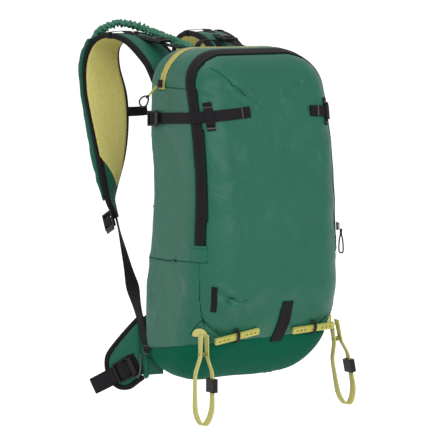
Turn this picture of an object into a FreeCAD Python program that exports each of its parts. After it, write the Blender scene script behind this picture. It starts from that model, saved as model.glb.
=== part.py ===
import FreeCAD, Part
import math
import os

import Sketcher

# Ski-touring backpack, built in a working frame (millimetres):
#   +Z up, +Y towards the wearer's back, -Y the front panel, +X the bag's right as seen from the front,
#   z = 0 at the underside of the bag.  Every sub-part then gets a Placement that puts the origin
#   where the haul loop bears on a hook.

V = FreeCAD.Vector
doc = FreeCAD.newDocument("ski_backpack")
sheet = doc.addObject("Spreadsheet::Sheet", "Sizes")

# ---------------------------------------------------------------------------------------------
# Driving dimensions: alias, value in mm (or as noted), meaning
# ---------------------------------------------------------------------------------------------
SIZES = [
    ("bag_height", 497, "underside to crown of the bag"),
    ("bag_half_width", 134, "half width at the widest level"),
    ("side_taper", 14, "how much each side leans in at the crown"),
    ("taper_start", 160, "level where the sides start to lean in"),
    ("back_y", 86, "plane of the back panel"),
    ("front_depth", 96, "front panel ahead of the centre plane, at its fullest"),
    ("front_lean", 50, "how far the front panel leans back at the crown"),
    ("lean_start", 190, "level where the front panel starts to lean"),
    ("crown_side_radius", 58, "crown corners seen from the front"),
    ("crown_front_radius", 50, "crown edge at the front"),
    ("crown_back_radius", 25, "crown edge at the back"),
    ("boot_side_reach", 60, "bottom corner, sideways"),
    ("boot_side_rise", 70, "bottom corner, upwards"),
    ("boot_back_radius", 30, "bottom edge at the back"),
    ("boot_front_rise", 150, "level where the front curves under"),
    ("boot_flat_y", 10, "where the underside turns flat"),
    ("boot_curve", 1.6, "exponent of the curve under the front"),
    ("front_corner", 60, "upright front corner radius, low on the bag"),
    ("front_corner_top", 42, "upright front corner radius, high on the bag"),
    ("back_corner", 32, "upright back corner radius"),
    ("back_corner_swell", 24, "extra back corner radius at mid height"),
    ("wall", 2.5, "fabric with its lining and foam"),
    ("seat_gap", 0.3, "clearance between a trim and what carries it"),
    ("run_gap", 0.4, "clearance of a piece that moves"),
    ("zip_width", 15, "front zip tape"),
    ("zip_low", 213, "lower end of the front zip"),
    ("zip_low_y", -66, "front zip, low on the side"),
    ("zip_bend", 257, "level where the front zip turns back"),
    ("zip_top_y", -14, "front zip over the crown"),
    ("top_zip_y", 36, "line of the top zip"),
    ("top_zip_width", 14, "top zip tape"),
    ("top_zip_low", 436, "lower ends of the top zip"),
    ("zip_proud", 0.8, "zip tape above the fabric"),
    ("back_seam_y", 66, "seam of the back panel"),
    ("crown_seam", 440, "level where the side panels end"),
    ("boot_seam_back", 42, "boot seam at the back"),
    ("boot_seam_rise", 32, "boot seam, rise to the front"),
    ("web_thick", 1.6, "webbing thickness"),
    ("comp_web", 16, "compression webbing width"),
    ("comp_level", 398, "compression webbing, centre"),
    ("comp_rise", 6, "climb of the compression webbing towards the middle, per 100"),
    ("comp_pivot_in", 14, "from the side to where the compression webbing is at its level"),
    ("comp_pivot_y", -30, "depth where the compression webbing is at its level"),
    ("comp_tail", 38, "end of the left compression webbing from the centre line"),
    ("comp_tail_right", 70, "end of the right one, cut shorter"),
    ("comp_lock_y", 49, "compression ladder-lock, centre"),
    ("keeper_height", 34, "keeper loop"),
    ("keeper_width", 11, "keeper loop"),
    ("keeper_x", 104, "keeper loop from the centre line"),
    ("strip_width", 10, "short strip beside the zip"),
    ("strip_low", 117, "short strip, lower end"),
    ("strip_high", 155, "short strip, upper end"),
    ("strip_x", 109.5, "short strip from the centre line"),
    ("daisy_width", 21, "strip near the centre"),
    ("daisy_x", 16, "strip near the centre, from the centre line"),
    ("daisy_low", 62, "strip near the centre, lower end"),
    ("daisy_high", 125, "strip near the centre, upper end"),
    ("strap_thick", 9, "shoulder strap padding"),
    ("lifter_web", 15, "load-lifter webbing"),
    ("lower_web", 20, "lower strap webbing"),
    ("sternum_web", 15, "sternum webbing"),
    ("hip_web", 25, "hip-belt webbing"),
    ("loop_web", 13, "ski-loop webbing"),
    ("pad_half_width", 98, "back pad"),
    ("pad_low", 34, "back pad, lower edge"),
    ("pad_high", 426, "back pad, upper edge"),
    ("pad_thick", 10, "back pad"),
    ("pad_channel", 34, "air channel width"),
    ("sheet_half_width", 76, "framesheet"),
    ("sheet_low", 62, "framesheet, lower edge"),
    ("sheet_high", 430, "framesheet, upper edge"),
    ("sheet_thick", 1.2, "framesheet"),
    ("stay_width", 25, "aluminium stay"),
    ("stay_thick", 3, "aluminium stay"),
    ("sleeve_thick", 1.5, "reservoir sleeve"),
    ("sleeve_half_width", 73, "reservoir sleeve"),
    ("sleeve_high", 372, "reservoir sleeve, upper edge"),
    ("sleeve_gap", 12, "room for a flat reservoir"),
    ("hose_radius", 5.5, "insulated hose sleeve"),
    ("wing_thick", 9, "hip wing padding"),
    ("wing_angle", 118, "hip wing direction from +X, degrees"),
    ("wing_x", 117, "hip wing hinge from the centre line"),
    ("wing_y", 88, "hip wing hinge"),
    ("piping_radius", 4.6, "sewn piping that the wing swings on"),
    ("toggle_length", 75, "toggle bar"),
    ("toggle_height", 10, "toggle bar"),
    ("toggle_thick", 4, "toggle bar"),
    ("toggle_level", 80, "toggle bars, centre"),
    ("toggle_x", 66, "left toggle bar from the centre line"),
    ("toggle_x_right", 73, "right toggle bar from the centre line"),
    ("loop_exit_x", 119, "ski-loop exit from the centre line"),
    ("loop_exit_level", 84, "ski-loop exit"),
    ("loop_length", 134, "ski loop from its exit to its lower end"),
    ("adjuster_drop", 66, "upper end of a loop's adjuster below the loop's exit"),
    ("adjuster_length", 20, "length of a loop's adjuster"),
    ("haul_width", 40, "haul loop"),
    ("haul_web", 14, "haul-loop webbing"),
    ("haul_root", 466, "haul loop, where it leaves the back panel"),
    ("haul_top", 503, "haul loop, inside of its arch"),
    ("haul_y", 93, "haul loop, centre"),
    ("lock_frame", 4, "ladder-lock thickness"),
    ("lock_bar", 2.8, "ladder-lock bars"),
    ("lock_wall", 2.6, "ladder-lock sides"),
    ("web_room", 0.8, "room beside webbing in a slot"),
    ("buckle_wall", 2, "side-release buckle walls"),
    ("buckle_rim", 4, "buckle wider than half its webbing by"),
    ("buckle_length", 24, "socket of a buckle"),
    ("buckle_thick", 8, "socket of a buckle"),
    ("buckle_base", 13, "grip of the prong half"),
    ("pull_length", 38, "zip pull"),
    ("pull_thick", 2.4, "zip pull cord"),
    ("slider_rise", 5.2, "zip pull above the slider's foot"),
    ("rail_x", 68, "sternum rails from the centre line"),
    ("rail_radius", 2.2, "sternum rails"),
    ("rail_stand", 5, "sternum rails off the strap"),
    ("hip_lock_out", 34, "hip ladder-lock from its hinge"),
    ("hip_lock_level", 7, "hip ladder-lock"),
    ("hip_fold_out", 92, "fold of the hip webbing from its hinge"),
    ("hip_fold_level", -24, "fold of the hip webbing"),
    ("strap_root", 0.9, "shoulder strap sunk behind the back panel's plane at its root"),
    ("lock_drop", 16.6, "ladder-lock below the tip of the strap"),
    ("sleeve_bulge", 13, "zipped hose sleeve on the strap"),
]
for row, (alias, value, meaning) in enumerate(SIZES, start=1):
    sheet.set("A%d" % row, meaning)
    sheet.set("B%d" % row, str(value))
    sheet.setAlias("B%d" % row, alias)
doc.recompute()


def size(alias):
    """Value of one driving dimension."""
    return float(sheet.get(alias))


HEIGHT = size("bag_height")
GAP = size("seat_gap")
RUN = size("run_gap")
WEB = size("web_thick")
HANG = V(0, -size("haul_y"), -size("haul_top"))
LEFT, RIGHT = -1, 1
SIDE_NAME = {LEFT: "left", RIGHT: "right"}
nodes = {}


# ---------------------------------------------------------------------------------------------
# The bag's outer surface: one rounded section at each level, grown outwards by `grow`
# ---------------------------------------------------------------------------------------------
def quarter(step, reach):
    """Fraction of `reach` still left at `step` along a quarter circle."""
    return math.sqrt(max(0.0, 1.0 - min(1.0, step / reach) ** 2))


def section(z, grow=0.0):
    """Half width, front y, back y, front corner and back corner radius at level z."""
    lean_in = size("side_taper") * max(0.0, z - size("taper_start")) / (HEIGHT - size("taper_start"))
    side = size("bag_half_width") - lean_in
    crown = size("crown_side_radius")
    reach = size("boot_side_reach")
    rise = size("boot_side_rise")
    if z > HEIGHT - crown:
        half = side - crown + (crown + grow) * quarter(z - HEIGHT + crown, crown + grow)
    elif z < rise:
        half = side - reach + (reach + grow) * quarter(rise - z, rise + grow)
    else:
        half = side + grow
    front = -size("front_depth") - grow
    if z > size("lean_start"):
        front += size("front_lean") * ((z - size("lean_start")) / (HEIGHT - size("lean_start"))) ** 2
    crown = size("crown_front_radius")
    if z > HEIGHT - crown:
        front += (crown + grow) * (1 - quarter(z - HEIGHT + crown, crown + grow))
    if z < size("boot_front_rise"):
        drop = min(1.0, (size("boot_front_rise") - z) / (size("boot_front_rise") + grow))
        power = size("boot_curve")
        span = size("front_depth") + size("boot_flat_y") + grow
        front = size("boot_flat_y") - span * (1 - drop ** power) ** (1 / power)
    back = size("back_y") + grow
    crown = size("crown_back_radius")
    if z > HEIGHT - crown:
        back = size("back_y") - crown + (crown + grow) * quarter(z - HEIGHT + crown, crown + grow)
    rise = size("boot_back_radius")
    if z < rise:
        back = size("back_y") - rise + (rise + grow) * quarter(rise - z, rise + grow)
    depth = back - front
    blend = min(1.0, max(0.0, (z - 200) / 200))
    front_corner = size("front_corner") + (size("front_corner_top") - size("front_corner")) * blend
    swell = math.sin(math.pi * min(1.0, max(0.0, (z - 90) / 340))) ** 2
    back_corner = size("back_corner") + size("back_corner_swell") * swell
    return half, front, back, min(front_corner, 0.36 * depth), min(back_corner, 0.36 * depth)


def levels(grow):
    """Levels of the loft's sections, closer together where the bag turns."""
    rise = size("boot_side_rise")
    low = [rise - (rise + grow) * math.sin(math.radians(a)) for a in (90, 76, 62, 45, 25)]
    crown = size("crown_front_radius")
    top = HEIGHT - crown
    high = [top + (crown + grow) * math.sin(math.radians(a)) for a in (0, 22, 42, 60, 76, 90)]
    share = (top - rise) / 12
    rises = [rise + share * step for step in (0.3, 1.3, 2.5, 4, 5.8, 7.6, 9.2, 10.5, 11.4)]
    return low + rises + high


def section_wire(z, grow):
    """Closed outline of the bag at level z: four sides and four corner arcs."""
    half, front, back, r_front, r_back = section(z, grow)
    corners = [(half - r_front, front + r_front, r_front, -90), (half - r_back, back - r_back, r_back, 0),
               (-half + r_back, back - r_back, r_back, 90), (-half + r_front, front + r_front, r_front, 180)]
    edges = []
    ends = []
    for cx, cy, radius, start in corners:
        turns = [math.radians(start + a) for a in (0, 45, 90)]
        arc = [V(cx + radius * math.cos(turn), cy + radius * math.sin(turn), z) for turn in turns]
        edges.append(Part.Arc(*arc).toShape())
        ends.append((arc[0], arc[2]))
    wire = []
    for i, edge in enumerate(edges):
        wire.append(edge)
        wire.append(Part.LineSegment(ends[i][1], ends[(i + 1) % 4][0]).toShape())
    return Part.Wire(wire)


loft_cache = {}


def bag_solid(grow):
    """Solid of the bag, grown outwards by `grow`."""
    if grow not in loft_cache:
        loft_cache[grow] = Part.makeLoft([section_wire(z, grow) for z in levels(grow)], True, False)
    return loft_cache[grow]


def side_x(y, z, grow=0.0):
    """Half width of the bag at depth y and level z, rounded corners included."""
    half, front, back, r_front, r_back = section(z, grow)
    if y < front + r_front:
        return half - r_front + math.sqrt(max(0.0, r_front ** 2 - (front + r_front - y) ** 2))
    if y > back - r_back:
        return half - r_back + math.sqrt(max(0.0, r_back ** 2 - (y - back + r_back) ** 2))
    return half


def front_y(x, z, grow=0.0):
    """Front of the bag at x and level z."""
    half, front, _, r_front, _ = section(z, grow)
    past = abs(x) - (half - r_front)
    if past <= 0:
        return front
    return front + r_front - math.sqrt(max(0.0, r_front ** 2 - past ** 2))


def side_frame(side, y, z, grow):
    """Point on the bag's side and the outward normal there."""
    step = 1.0
    here = side_x(y, z, grow)
    slope_y = (side_x(y + step, z, grow) - side_x(y - step, z, grow)) / (2 * step)
    slope_z = (side_x(y, z + step, grow) - side_x(y, z - step, grow)) / (2 * step)
    return V(side * here, y, z), V(side, -slope_y, -slope_z).normalize()


def front_frame(x, z, grow):
    """Point on the bag's front and the outward normal there."""
    step = 1.0
    slope_x = (front_y(x + step, z, grow) - front_y(x - step, z, grow)) / (2 * step)
    slope_z = (front_y(x, z + step, grow) - front_y(x, z - step, grow)) / (2 * step)
    return V(x, front_y(x, z, grow), z), V(slope_x, -1, slope_z).normalize()


# ---------------------------------------------------------------------------------------------
# Helpers that make document objects
# ---------------------------------------------------------------------------------------------
def placed(origin, along, normal):
    """Placement whose local Y runs along `along` and local Z along `normal`."""
    y_axis = V(along).normalize()
    z_axis = V(normal)
    z_axis = (z_axis - y_axis * z_axis.dot(y_axis)).normalize()
    x_axis = y_axis.cross(z_axis)
    turn = FreeCAD.Matrix(x_axis.x, y_axis.x, z_axis.x, 0, x_axis.y, y_axis.y, z_axis.y, 0,
                          x_axis.z, y_axis.z, z_axis.z, 0, 0, 0, 0, 1)
    return FreeCAD.Placement(V(origin), FreeCAD.Placement(turn).Rotation)


def settle(obj, label, placement=None):
    """Name a sub-part and move it from the working frame to the haul-loop frame."""
    obj.Label = label
    base = placement or FreeCAD.Placement()
    obj.Placement = FreeCAD.Placement(HANG, FreeCAD.Rotation()) * base
    nodes[label] = obj
    return obj


def feature(label, shape):
    """Sub-part whose shape is worked out with Part's own functions."""
    obj = doc.addObject("Part::Feature", label)
    obj.Shape = shape
    return settle(obj, label)


def origin_plane(body, role):
    return [plane for plane in body.Origin.OriginFeatures if plane.Role == role][0]


def add_sketch(body, name, role, loops, offset="0"):
    """Sketch of closed polygons; each point is a pair of expressions bound to the sheet."""
    sketch = body.newObject("Sketcher::SketchObject", name)
    sketch.AttachmentSupport = [(origin_plane(body, role), "")]
    sketch.MapMode = "FlatFace"
    sketch.setExpression("AttachmentOffset.Base.z", offset)
    for loop in loops:
        first = sketch.GeometryCount
        values = [(float(body.evalExpression(px)), float(body.evalExpression(py))) for px, py in loop]
        count = len(loop)
        for i in range(count):
            start, end = values[i], values[(i + 1) % count]
            sketch.addGeometry(Part.LineSegment(V(start[0], start[1], 0), V(end[0], end[1], 0)))
        for i in range(count):
            sketch.addConstraint(Sketcher.Constraint("Coincident", first + i, 2, first + (i + 1) % count, 1))
        for i in range(count):
            for kind, axis, value, rule in (("DistanceX", -2, values[i][0], loop[i][0]),
                                            ("DistanceY", -1, values[i][1], loop[i][1])):
                if abs(value) < 1e-9:
                    sketch.addConstraint(Sketcher.Constraint("PointOnObject", first + i, 1, axis))
                    continue
                index = sketch.addConstraint(Sketcher.Constraint(kind, -1, 1, first + i, 1, value))
                sketch.setExpression("Constraints[%d]" % index, rule)
    return sketch


def rectangle(x0, y0, x1, y1):
    """Loop of four points from expressions for two opposite corners."""
    return [(x0, y0), (x1, y0), (x1, y1), (x0, y1)]


def add_pad(body, name, role, loops, length, offset="0", middle=False):
    pad = body.newObject("PartDesign::Pad", name)
    pad.Profile = add_sketch(body, name + "_outline", role, loops, offset)
    pad.setExpression("Length", length)
    pad.Midplane = middle
    doc.recompute()
    return pad


def add_pocket(body, name, role, loops, length, offset="0", middle=False, reverse=False):
    """Pocket that must take material away."""
    before = body.Shape.Volume
    pocket = body.newObject("PartDesign::Pocket", name)
    pocket.Profile = add_sketch(body, name + "_outline", role, loops, offset)
    pocket.setExpression("Length", length)
    pocket.Midplane = middle
    pocket.Reversed = reverse
    doc.recompute()
    if body.Shape.Volume > before - 1e-6:
        raise RuntimeError("%s cuts nothing" % name)
    return pocket


def round_edges(body, name, radius, direction):
    """Fillet the straight edges that run along one local axis."""
    tip = body.Tip
    names = []
    for i, edge in enumerate(tip.Shape.Edges, start=1):
        if not isinstance(edge.Curve, (Part.Line, Part.LineSegment)):
            continue
        run = (edge.Vertexes[-1].Point - edge.Vertexes[0].Point).normalize()
        if abs(run.dot(direction)) > 0.999:
            names.append("Edge%d" % i)
    fillet = body.newObject("PartDesign::Fillet", name)
    fillet.Base = (tip, names)
    fillet.setExpression("Radius", radius)
    doc.recompute()
    return fillet


def new_body(label):
    return doc.addObject("PartDesign::Body", label)


def box_region(x0, x1, y0, y1, z0, z1):
    return Part.makeBox(x1 - x0, y1 - y0, z1 - z0, V(x0, y0, z0))


def band(label, inner, outer, region):
    """Strip of material that lies on the bag between two grown surfaces, inside a region."""
    return feature(label, bag_solid(outer).common(region).cut(bag_solid(inner)))


def ribbon_shape(stations, width, thick):
    """Webbing as a chain of flat runs: each station is (centre, direction across the width)."""
    wires = []
    count = len(stations)
    for i, (centre, across) in enumerate(stations):
        ahead = stations[min(i + 1, count - 1)][0] - stations[max(i - 1, 0)][0]
        across = V(across).normalize()
        lift = V(ahead).cross(across).normalize()
        w, t = across * (width / 2), lift * (thick / 2)
        corners = [centre - w - t, centre + w - t, centre + w + t, centre - w + t]
        wires.append(Part.makePolygon(corners + corners[:1]))
    return Part.makeLoft(wires, True, True)


# ---------------------------------------------------------------------------------------------
# Bag panels and zips: one shell, split along its seams
# ---------------------------------------------------------------------------------------------
FAR = 260.0
SEAM_LEVELS = 12


def zip_line(z):
    """Depth of the front zip at level z."""
    turn = min(1.0, max(0.0, (z - size("zip_bend")) / (HEIGHT - size("zip_bend"))))
    return size("zip_low_y") + (size("zip_top_y") - size("zip_low_y")) * turn ** 2


def seam_points(offset, start):
    """Points beside the front zip from level `start` over the crown."""
    top = HEIGHT + 8
    points = []
    for i in range(SEAM_LEVELS + 1):
        z = start + (top - start) * i / SEAM_LEVELS
        slope = (zip_line(z + 1) - zip_line(z - 1)) / 2
        points.append(V(0, zip_line(z) + offset * math.sqrt(1 + slope ** 2), z))
    return points


def seam_edge(points):
    curve = Part.BSplineCurve()
    curve.interpolate(points)
    return curve.toShape()


def prism(edges, x0=-FAR, x1=FAR):
    """Solid between two X planes above a closed outline in the Y-Z plane."""
    face = Part.Face(Part.Wire(Part.sortEdges(edges)[0]))
    face.translate(V(x0, 0, 0))
    return face.extrude(V(x1 - x0, 0, 0))


def chain(points):
    return [Part.LineSegment(a, b).toShape() for a, b in zip(points, points[1:])]


def bag_panels():
    half_zip = size("zip_width") / 2
    low = size("zip_low")
    skin = bag_solid(0.0).cut(bag_solid(-size("wall")))
    front_pts = seam_points(-half_zip, low)
    rear_pts = seam_points(half_zip, low)
    base_y = size("zip_low_y")
    front = prism([seam_edge(front_pts)] + chain([front_pts[-1], V(0, -FAR, front_pts[-1].z), V(0, -FAR, -20),
                                                  V(0, base_y, -20), V(0, base_y, low), front_pts[0]]))
    rear = prism([seam_edge(rear_pts)] + chain([rear_pts[-1], V(0, FAR, rear_pts[-1].z), V(0, FAR, -20),
                                                V(0, base_y, -20), V(0, base_y, low), rear_pts[0]]))
    slot = prism([seam_edge(front_pts), seam_edge(rear_pts)] + chain([front_pts[0], rear_pts[0]])
                 + chain([front_pts[-1], rear_pts[-1]]))
    seam_back, rise = size("boot_seam_back"), size("boot_seam_rise")
    reach = size("back_y") + size("front_depth")
    slope = rise / reach
    boot_line = [V(0, FAR, seam_back - slope * (FAR - size("back_y"))),
                 V(0, -FAR, seam_back + slope * (FAR + size("back_y")))]
    boot = prism(chain(boot_line + [V(0, -FAR, -30), V(0, FAR, -30), boot_line[0]]))
    upper = skin.cut(boot)
    tz, tw, tl = size("top_zip_y"), size("top_zip_width") / 2, size("top_zip_low")
    top_slot = box_region(-FAR, FAR, tz - tw, tz + tw, tl, HEIGHT + 20)
    seam_y, crown = size("back_seam_y"), size("crown_seam")
    back = box_region(-FAR, FAR, seam_y, FAR, -20, crown)
    back = back.fuse(box_region(-FAR, FAR, tz + tw, FAR, crown, HEIGHT + 20))
    feature("front_panel", upper.common(front))
    middle = upper.common(rear)
    feature("back_panel", middle.common(back))
    for side in (LEFT, RIGHT):
        x0, x1 = (-FAR, 0) if side == LEFT else (0, FAR)
        region = box_region(x0, x1, -FAR, seam_y, -20, crown).cut(top_slot)
        feature(SIDE_NAME[side] + "_side_panel", middle.common(region))
    feature("top_panel", middle.common(box_region(-FAR, FAR, -FAR, tz - tw, crown, HEIGHT + 20)))
    feature("bottom_boot", skin.common(boot))
    proud = size("zip_proud")
    tape = bag_solid(proud).cut(bag_solid(-size("wall") + 0.5))
    feature("front_zip_tape", tape.common(slot))
    feature("top_zip_tape", tape.common(top_slot))


# ---------------------------------------------------------------------------------------------
# Hardware
# ---------------------------------------------------------------------------------------------
def ladder_lock(label, web, placement):
    """Ladder-lock: a frame with two webbing slots; local Y runs along the webbing, Z off it."""
    body = new_body(label)
    w = "(Sizes.%s / 2 + Sizes.web_room)" % web
    outer = "(%s + Sizes.lock_wall)" % w
    length = "(Sizes.%s * 0.45 + 4)" % web
    slot_a = rectangle("-" + w, "Sizes.lock_bar / 2", w, "%s - Sizes.lock_bar" % length)
    slot_b = rectangle("-" + w, "Sizes.lock_bar - " + length, w, "-Sizes.lock_bar / 2")
    frame = rectangle("-" + outer, "-" + length, outer, length)
    add_pad(body, "frame", "XY_Plane", [frame, slot_a, slot_b], "Sizes.lock_frame")
    round_edges(body, "corners", "Sizes.lock_wall / 4", V(0, 0, 1))
    lip = rectangle("-" + w, "-%s - 5" % length, w, "2 - " + length)
    add_pad(body, "tilt_lip", "XY_Plane", [lip], "Sizes.lock_frame * 0.45", "Sizes.lock_frame * 0.55")
    return settle(body, label, placement)


def buckle_female(label, web, placement):
    """Socket half of a side-release buckle; its mouth faces local +Y at the end of the shell."""
    body = new_body(label)
    half = "(Sizes.%s / 2 + Sizes.buckle_rim)" % web
    shell = rectangle("-" + half, "0", half, "Sizes.buckle_length")
    add_pad(body, "shell", "XY_Plane", [shell], "Sizes.buckle_thick", middle=True)
    round_edges(body, "corners", "Sizes.buckle_thick / 4", V(0, 1, 0))
    cavity = "(%s - Sizes.buckle_wall)" % half
    rise = "(Sizes.buckle_thick / 2 - 0.7 * Sizes.buckle_wall)"
    mouth = rectangle("-" + cavity, "-" + rise, cavity, rise)
    deep = "Sizes.buckle_length * 2 / 3"
    add_pocket(body, "cavity", "XZ_Plane", [mouth], deep, "-Sizes.buckle_length", reverse=True)
    near, far = "Sizes.buckle_length / 2", "Sizes.buckle_length * 3 / 4"
    window = rectangle(half + " - 3.5", near, half + " + 2", far)
    mirror = rectangle("-" + half + " - 2", near, "3.5 - " + half, far)
    add_pocket(body, "windows", "XY_Plane", [window, mirror], "Sizes.buckle_thick * 2", middle=True)
    slot = "(Sizes.%s / 2 + Sizes.web_room)" % web
    gap = rectangle("-" + slot, "2.2", slot, "5")
    add_pocket(body, "webbing_slot", "XY_Plane", [gap], "Sizes.buckle_thick * 2", middle=True)
    return settle(body, label, placement)


def buckle_male(label, web, placement):
    """Prong half of the buckle; it enters the socket from its local +Y end."""
    body = new_body(label)
    half = "(Sizes.%s / 2 + Sizes.buckle_rim)" % web
    base = "(Sizes.buckle_length + Sizes.run_gap)"
    end = "(Sizes.buckle_length + Sizes.buckle_base)"
    slot = "(Sizes.%s / 2 + Sizes.web_room)" % web
    grip = rectangle("-" + half, base, half, end)
    gap = rectangle("-" + slot, end + " - 7", slot, end + " - 3.5")
    add_pad(body, "base", "XY_Plane", [grip, gap], "(Sizes.buckle_thick - 1)", middle=True)
    tip = "(%s - Sizes.buckle_wall - Sizes.run_gap)" % half
    prong = "(%s - 3)" % tip
    root = base + " + 1"
    loops = [rectangle(prong, "10", tip, root), rectangle("-" + tip, "10", "-" + prong, root),
             rectangle("-1.6", "9", "1.6", root)]
    thick = "(Sizes.buckle_thick - 1.4 * Sizes.buckle_wall - 2 * Sizes.run_gap)"
    add_pad(body, "prongs", "XY_Plane", loops, thick, middle=True)
    return settle(body, label, placement)


def zip_slider(label, placement):
    """Slider: a small block with a bridge; local Y runs along the zip, Z away from it."""
    body = new_body(label)
    add_pad(body, "block", "XY_Plane", [rectangle("-4.5", "-6", "4.5", "6")], "2.4")
    round_edges(body, "corners", "2", V(0, 0, 1))
    add_pad(body, "bridge", "YZ_Plane", [[("-4.5", "2"), ("4.5", "2"), ("4.5", "4.6"), ("-4.5", "4.6")],
                                         rectangle("-3", "2.4", "3", "3.6")], "3", middle=True)
    return settle(body, label, placement)


def zip_pull(label, placement):
    """Cord pull with a thumb loop; it hangs from its local origin towards -Y."""
    body = new_body(label)
    end = "-Sizes.pull_length"
    stem = rectangle("-1.6", "-12", "1.6", "0")
    add_pad(body, "stem", "XY_Plane", [stem], "Sizes.pull_thick")
    ring = [("-1.6", "-11"), ("1.6", "-11"), ("6.5", "-17"), ("6.5", end), ("-6.5", end), ("-6.5", "-17")]
    inner = "Sizes.pull_thick - Sizes.pull_length"
    eye = [("-0.8", "-14"), ("0.8", "-14"), ("4", "-18"), ("4", inner), ("-4", inner), ("-4", "-18")]
    add_pad(body, "thumb_loop", "XY_Plane", [ring, eye], "Sizes.pull_thick")
    return settle(body, label, placement)


# ---------------------------------------------------------------------------------------------
# Things on the outside of the bag
# ---------------------------------------------------------------------------------------------
WEB_LIFT = size("zip_proud") + GAP
WEB_TOP = WEB_LIFT + WEB


def comp_climb(side):
    """Slope and pivot of the compression webbing, which climbs forwards and towards the middle."""
    across = side * (size("bag_half_width") - size("comp_pivot_in"))
    return size("comp_rise") / 100, V(across, size("comp_pivot_y"), size("comp_level"))


def comp_tilted(shape, side):
    """A level shape leaned the way the compression webbing runs."""
    slope, pivot = comp_climb(side)
    turn = math.degrees(math.atan(slope))
    shape.rotate(pivot, V(1, 0, 0), -turn)
    shape.rotate(pivot, V(0, 1, 0), side * turn)
    return shape


def comp_level_at(side, x, y):
    """Level of the compression webbing's middle above a point."""
    slope, pivot = comp_climb(side)
    return pivot.z - slope * (y - pivot.y) - side * slope * (x - pivot.x)


def compression_straps():
    width, level = size("comp_web"), size("comp_level")
    lock_y = size("comp_lock_y")
    for side in (LEFT, RIGHT):
        name = SIDE_NAME[side]
        tail = size("comp_tail") if side == LEFT else size("comp_tail_right")
        x0, x1 = sorted((side * tail, side * FAR))
        region = box_region(x0, x1, -FAR, lock_y + 11, level - width / 2, level + width / 2)
        region = comp_tilted(region, side)
        band(name + "_compression_webbing", WEB_LIFT, WEB_TOP, region)
        slope, _ = comp_climb(side)
        lock_level = comp_level_at(side, side * side_x(lock_y, level), lock_y)
        point, normal = side_frame(side, lock_y, lock_level, WEB_TOP + RUN)
        ladder_lock(name + "_compression_lock", "comp_web", placed(point, V(0, 1, -slope), normal))
        tall, wide = size("keeper_height") / 2, size("keeper_width") / 2
        keeper_x = side * size("keeper_x")
        slab = box_region(keeper_x - wide, keeper_x + wide, -FAR, 0, level - tall, level + tall)
        slab = comp_tilted(slab, side)
        tunnel = box_region(-FAR, FAR, -FAR, 0, level - width / 2 - 1, level + width / 2 + 1)
        tunnel = comp_tilted(tunnel, side)
        keeper = bag_solid(WEB_TOP + GAP + WEB).common(slab).cut(bag_solid(GAP))
        feature(name + "_keeper_loop", keeper.cut(bag_solid(WEB_TOP + GAP).common(tunnel)))


def front_strips():
    x, half = size("strip_x"), size("strip_width") / 2
    region = box_region(-x - half, -x + half, -FAR, 0, size("strip_low"), size("strip_high"))
    band("short_strip", GAP, GAP + WEB, region)
    x, half = size("daisy_x"), size("daisy_width") / 2
    region = box_region(x - half, x + half, -FAR, 0, size("daisy_low"), size("daisy_high"))
    band("centre_strip", GAP, GAP + WEB, region)


def zip_sliders():
    """Front slider at the lower end of its zip on the right, top slider low on the left."""
    hook = FreeCAD.Placement(V(0, -3, size("slider_rise")), FreeCAD.Rotation())
    z = size("zip_low") + 14
    low, normal = side_frame(RIGHT, zip_line(z), z, size("zip_proud") + GAP)
    high, _ = side_frame(RIGHT, zip_line(z + 50), z + 50, size("zip_proud") + GAP)
    place = placed(low, high - low, normal)
    zip_slider("front_zip_slider", place)
    zip_pull("front_zip_pull", place * hook)
    low, normal = side_frame(LEFT, size("top_zip_y"), size("top_zip_low") + 9, size("zip_proud") + 2 * RUN)
    place = placed(low, V(0, 0, 1), normal)
    zip_slider("top_zip_slider", place)
    hook.Rotation = FreeCAD.Rotation(V(1, 0, 0), -45)
    zip_pull("top_zip_pull", place * hook)


def toggles():
    """Toggle bars: a drilled bar with a boss that reaches to the fabric."""
    for side in (LEFT, RIGHT):
        body = new_body(SIDE_NAME[side] + "_toggle")
        half, tall = "(Sizes.toggle_length / 2)", "(Sizes.toggle_height / 2)"
        centres = ["%s * Sizes.toggle_length" % share for share in (-0.4, -0.307, -0.213, 0.213, 0.307, 0.4)]
        holes = [rectangle(mid + " - 2", "-1.6", mid + " + 2", "1.6") for mid in centres]
        add_pad(body, "bar", "XY_Plane", [rectangle("-" + half, "-" + tall, half, tall)] + holes,
                "Sizes.toggle_thick", "2.5")
        round_edges(body, "ends", "1.5", V(0, 0, 1))
        add_pad(body, "boss", "XY_Plane", [rectangle("-3", "-3", "3", "3")], "3")
        x = -size("toggle_x") if side == LEFT else size("toggle_x_right")
        point, normal = front_frame(x, size("toggle_level"), RUN)
        normal = V(0, normal.y, normal.z).normalize()
        tilt = {LEFT: 10.0, RIGHT: 2.0}[side]
        across = FreeCAD.Rotation(V(0, -1, 0), tilt).multVec(V(1, 0, 0))
        settle(body, SIDE_NAME[side] + "_toggle", placed(point, normal.cross(across), normal))


def loop_seat(x, z, up, half):
    """Origin of a ski loop whose stem just clears the front of the bag at its upper end."""
    across = V(0, -1, 0).cross(up) * 6
    front = min(front_y(x + step * across.x, z + step * across.z, GAP) for step in (-1, 0, 1))
    return V(x, front - half, z)


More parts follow.
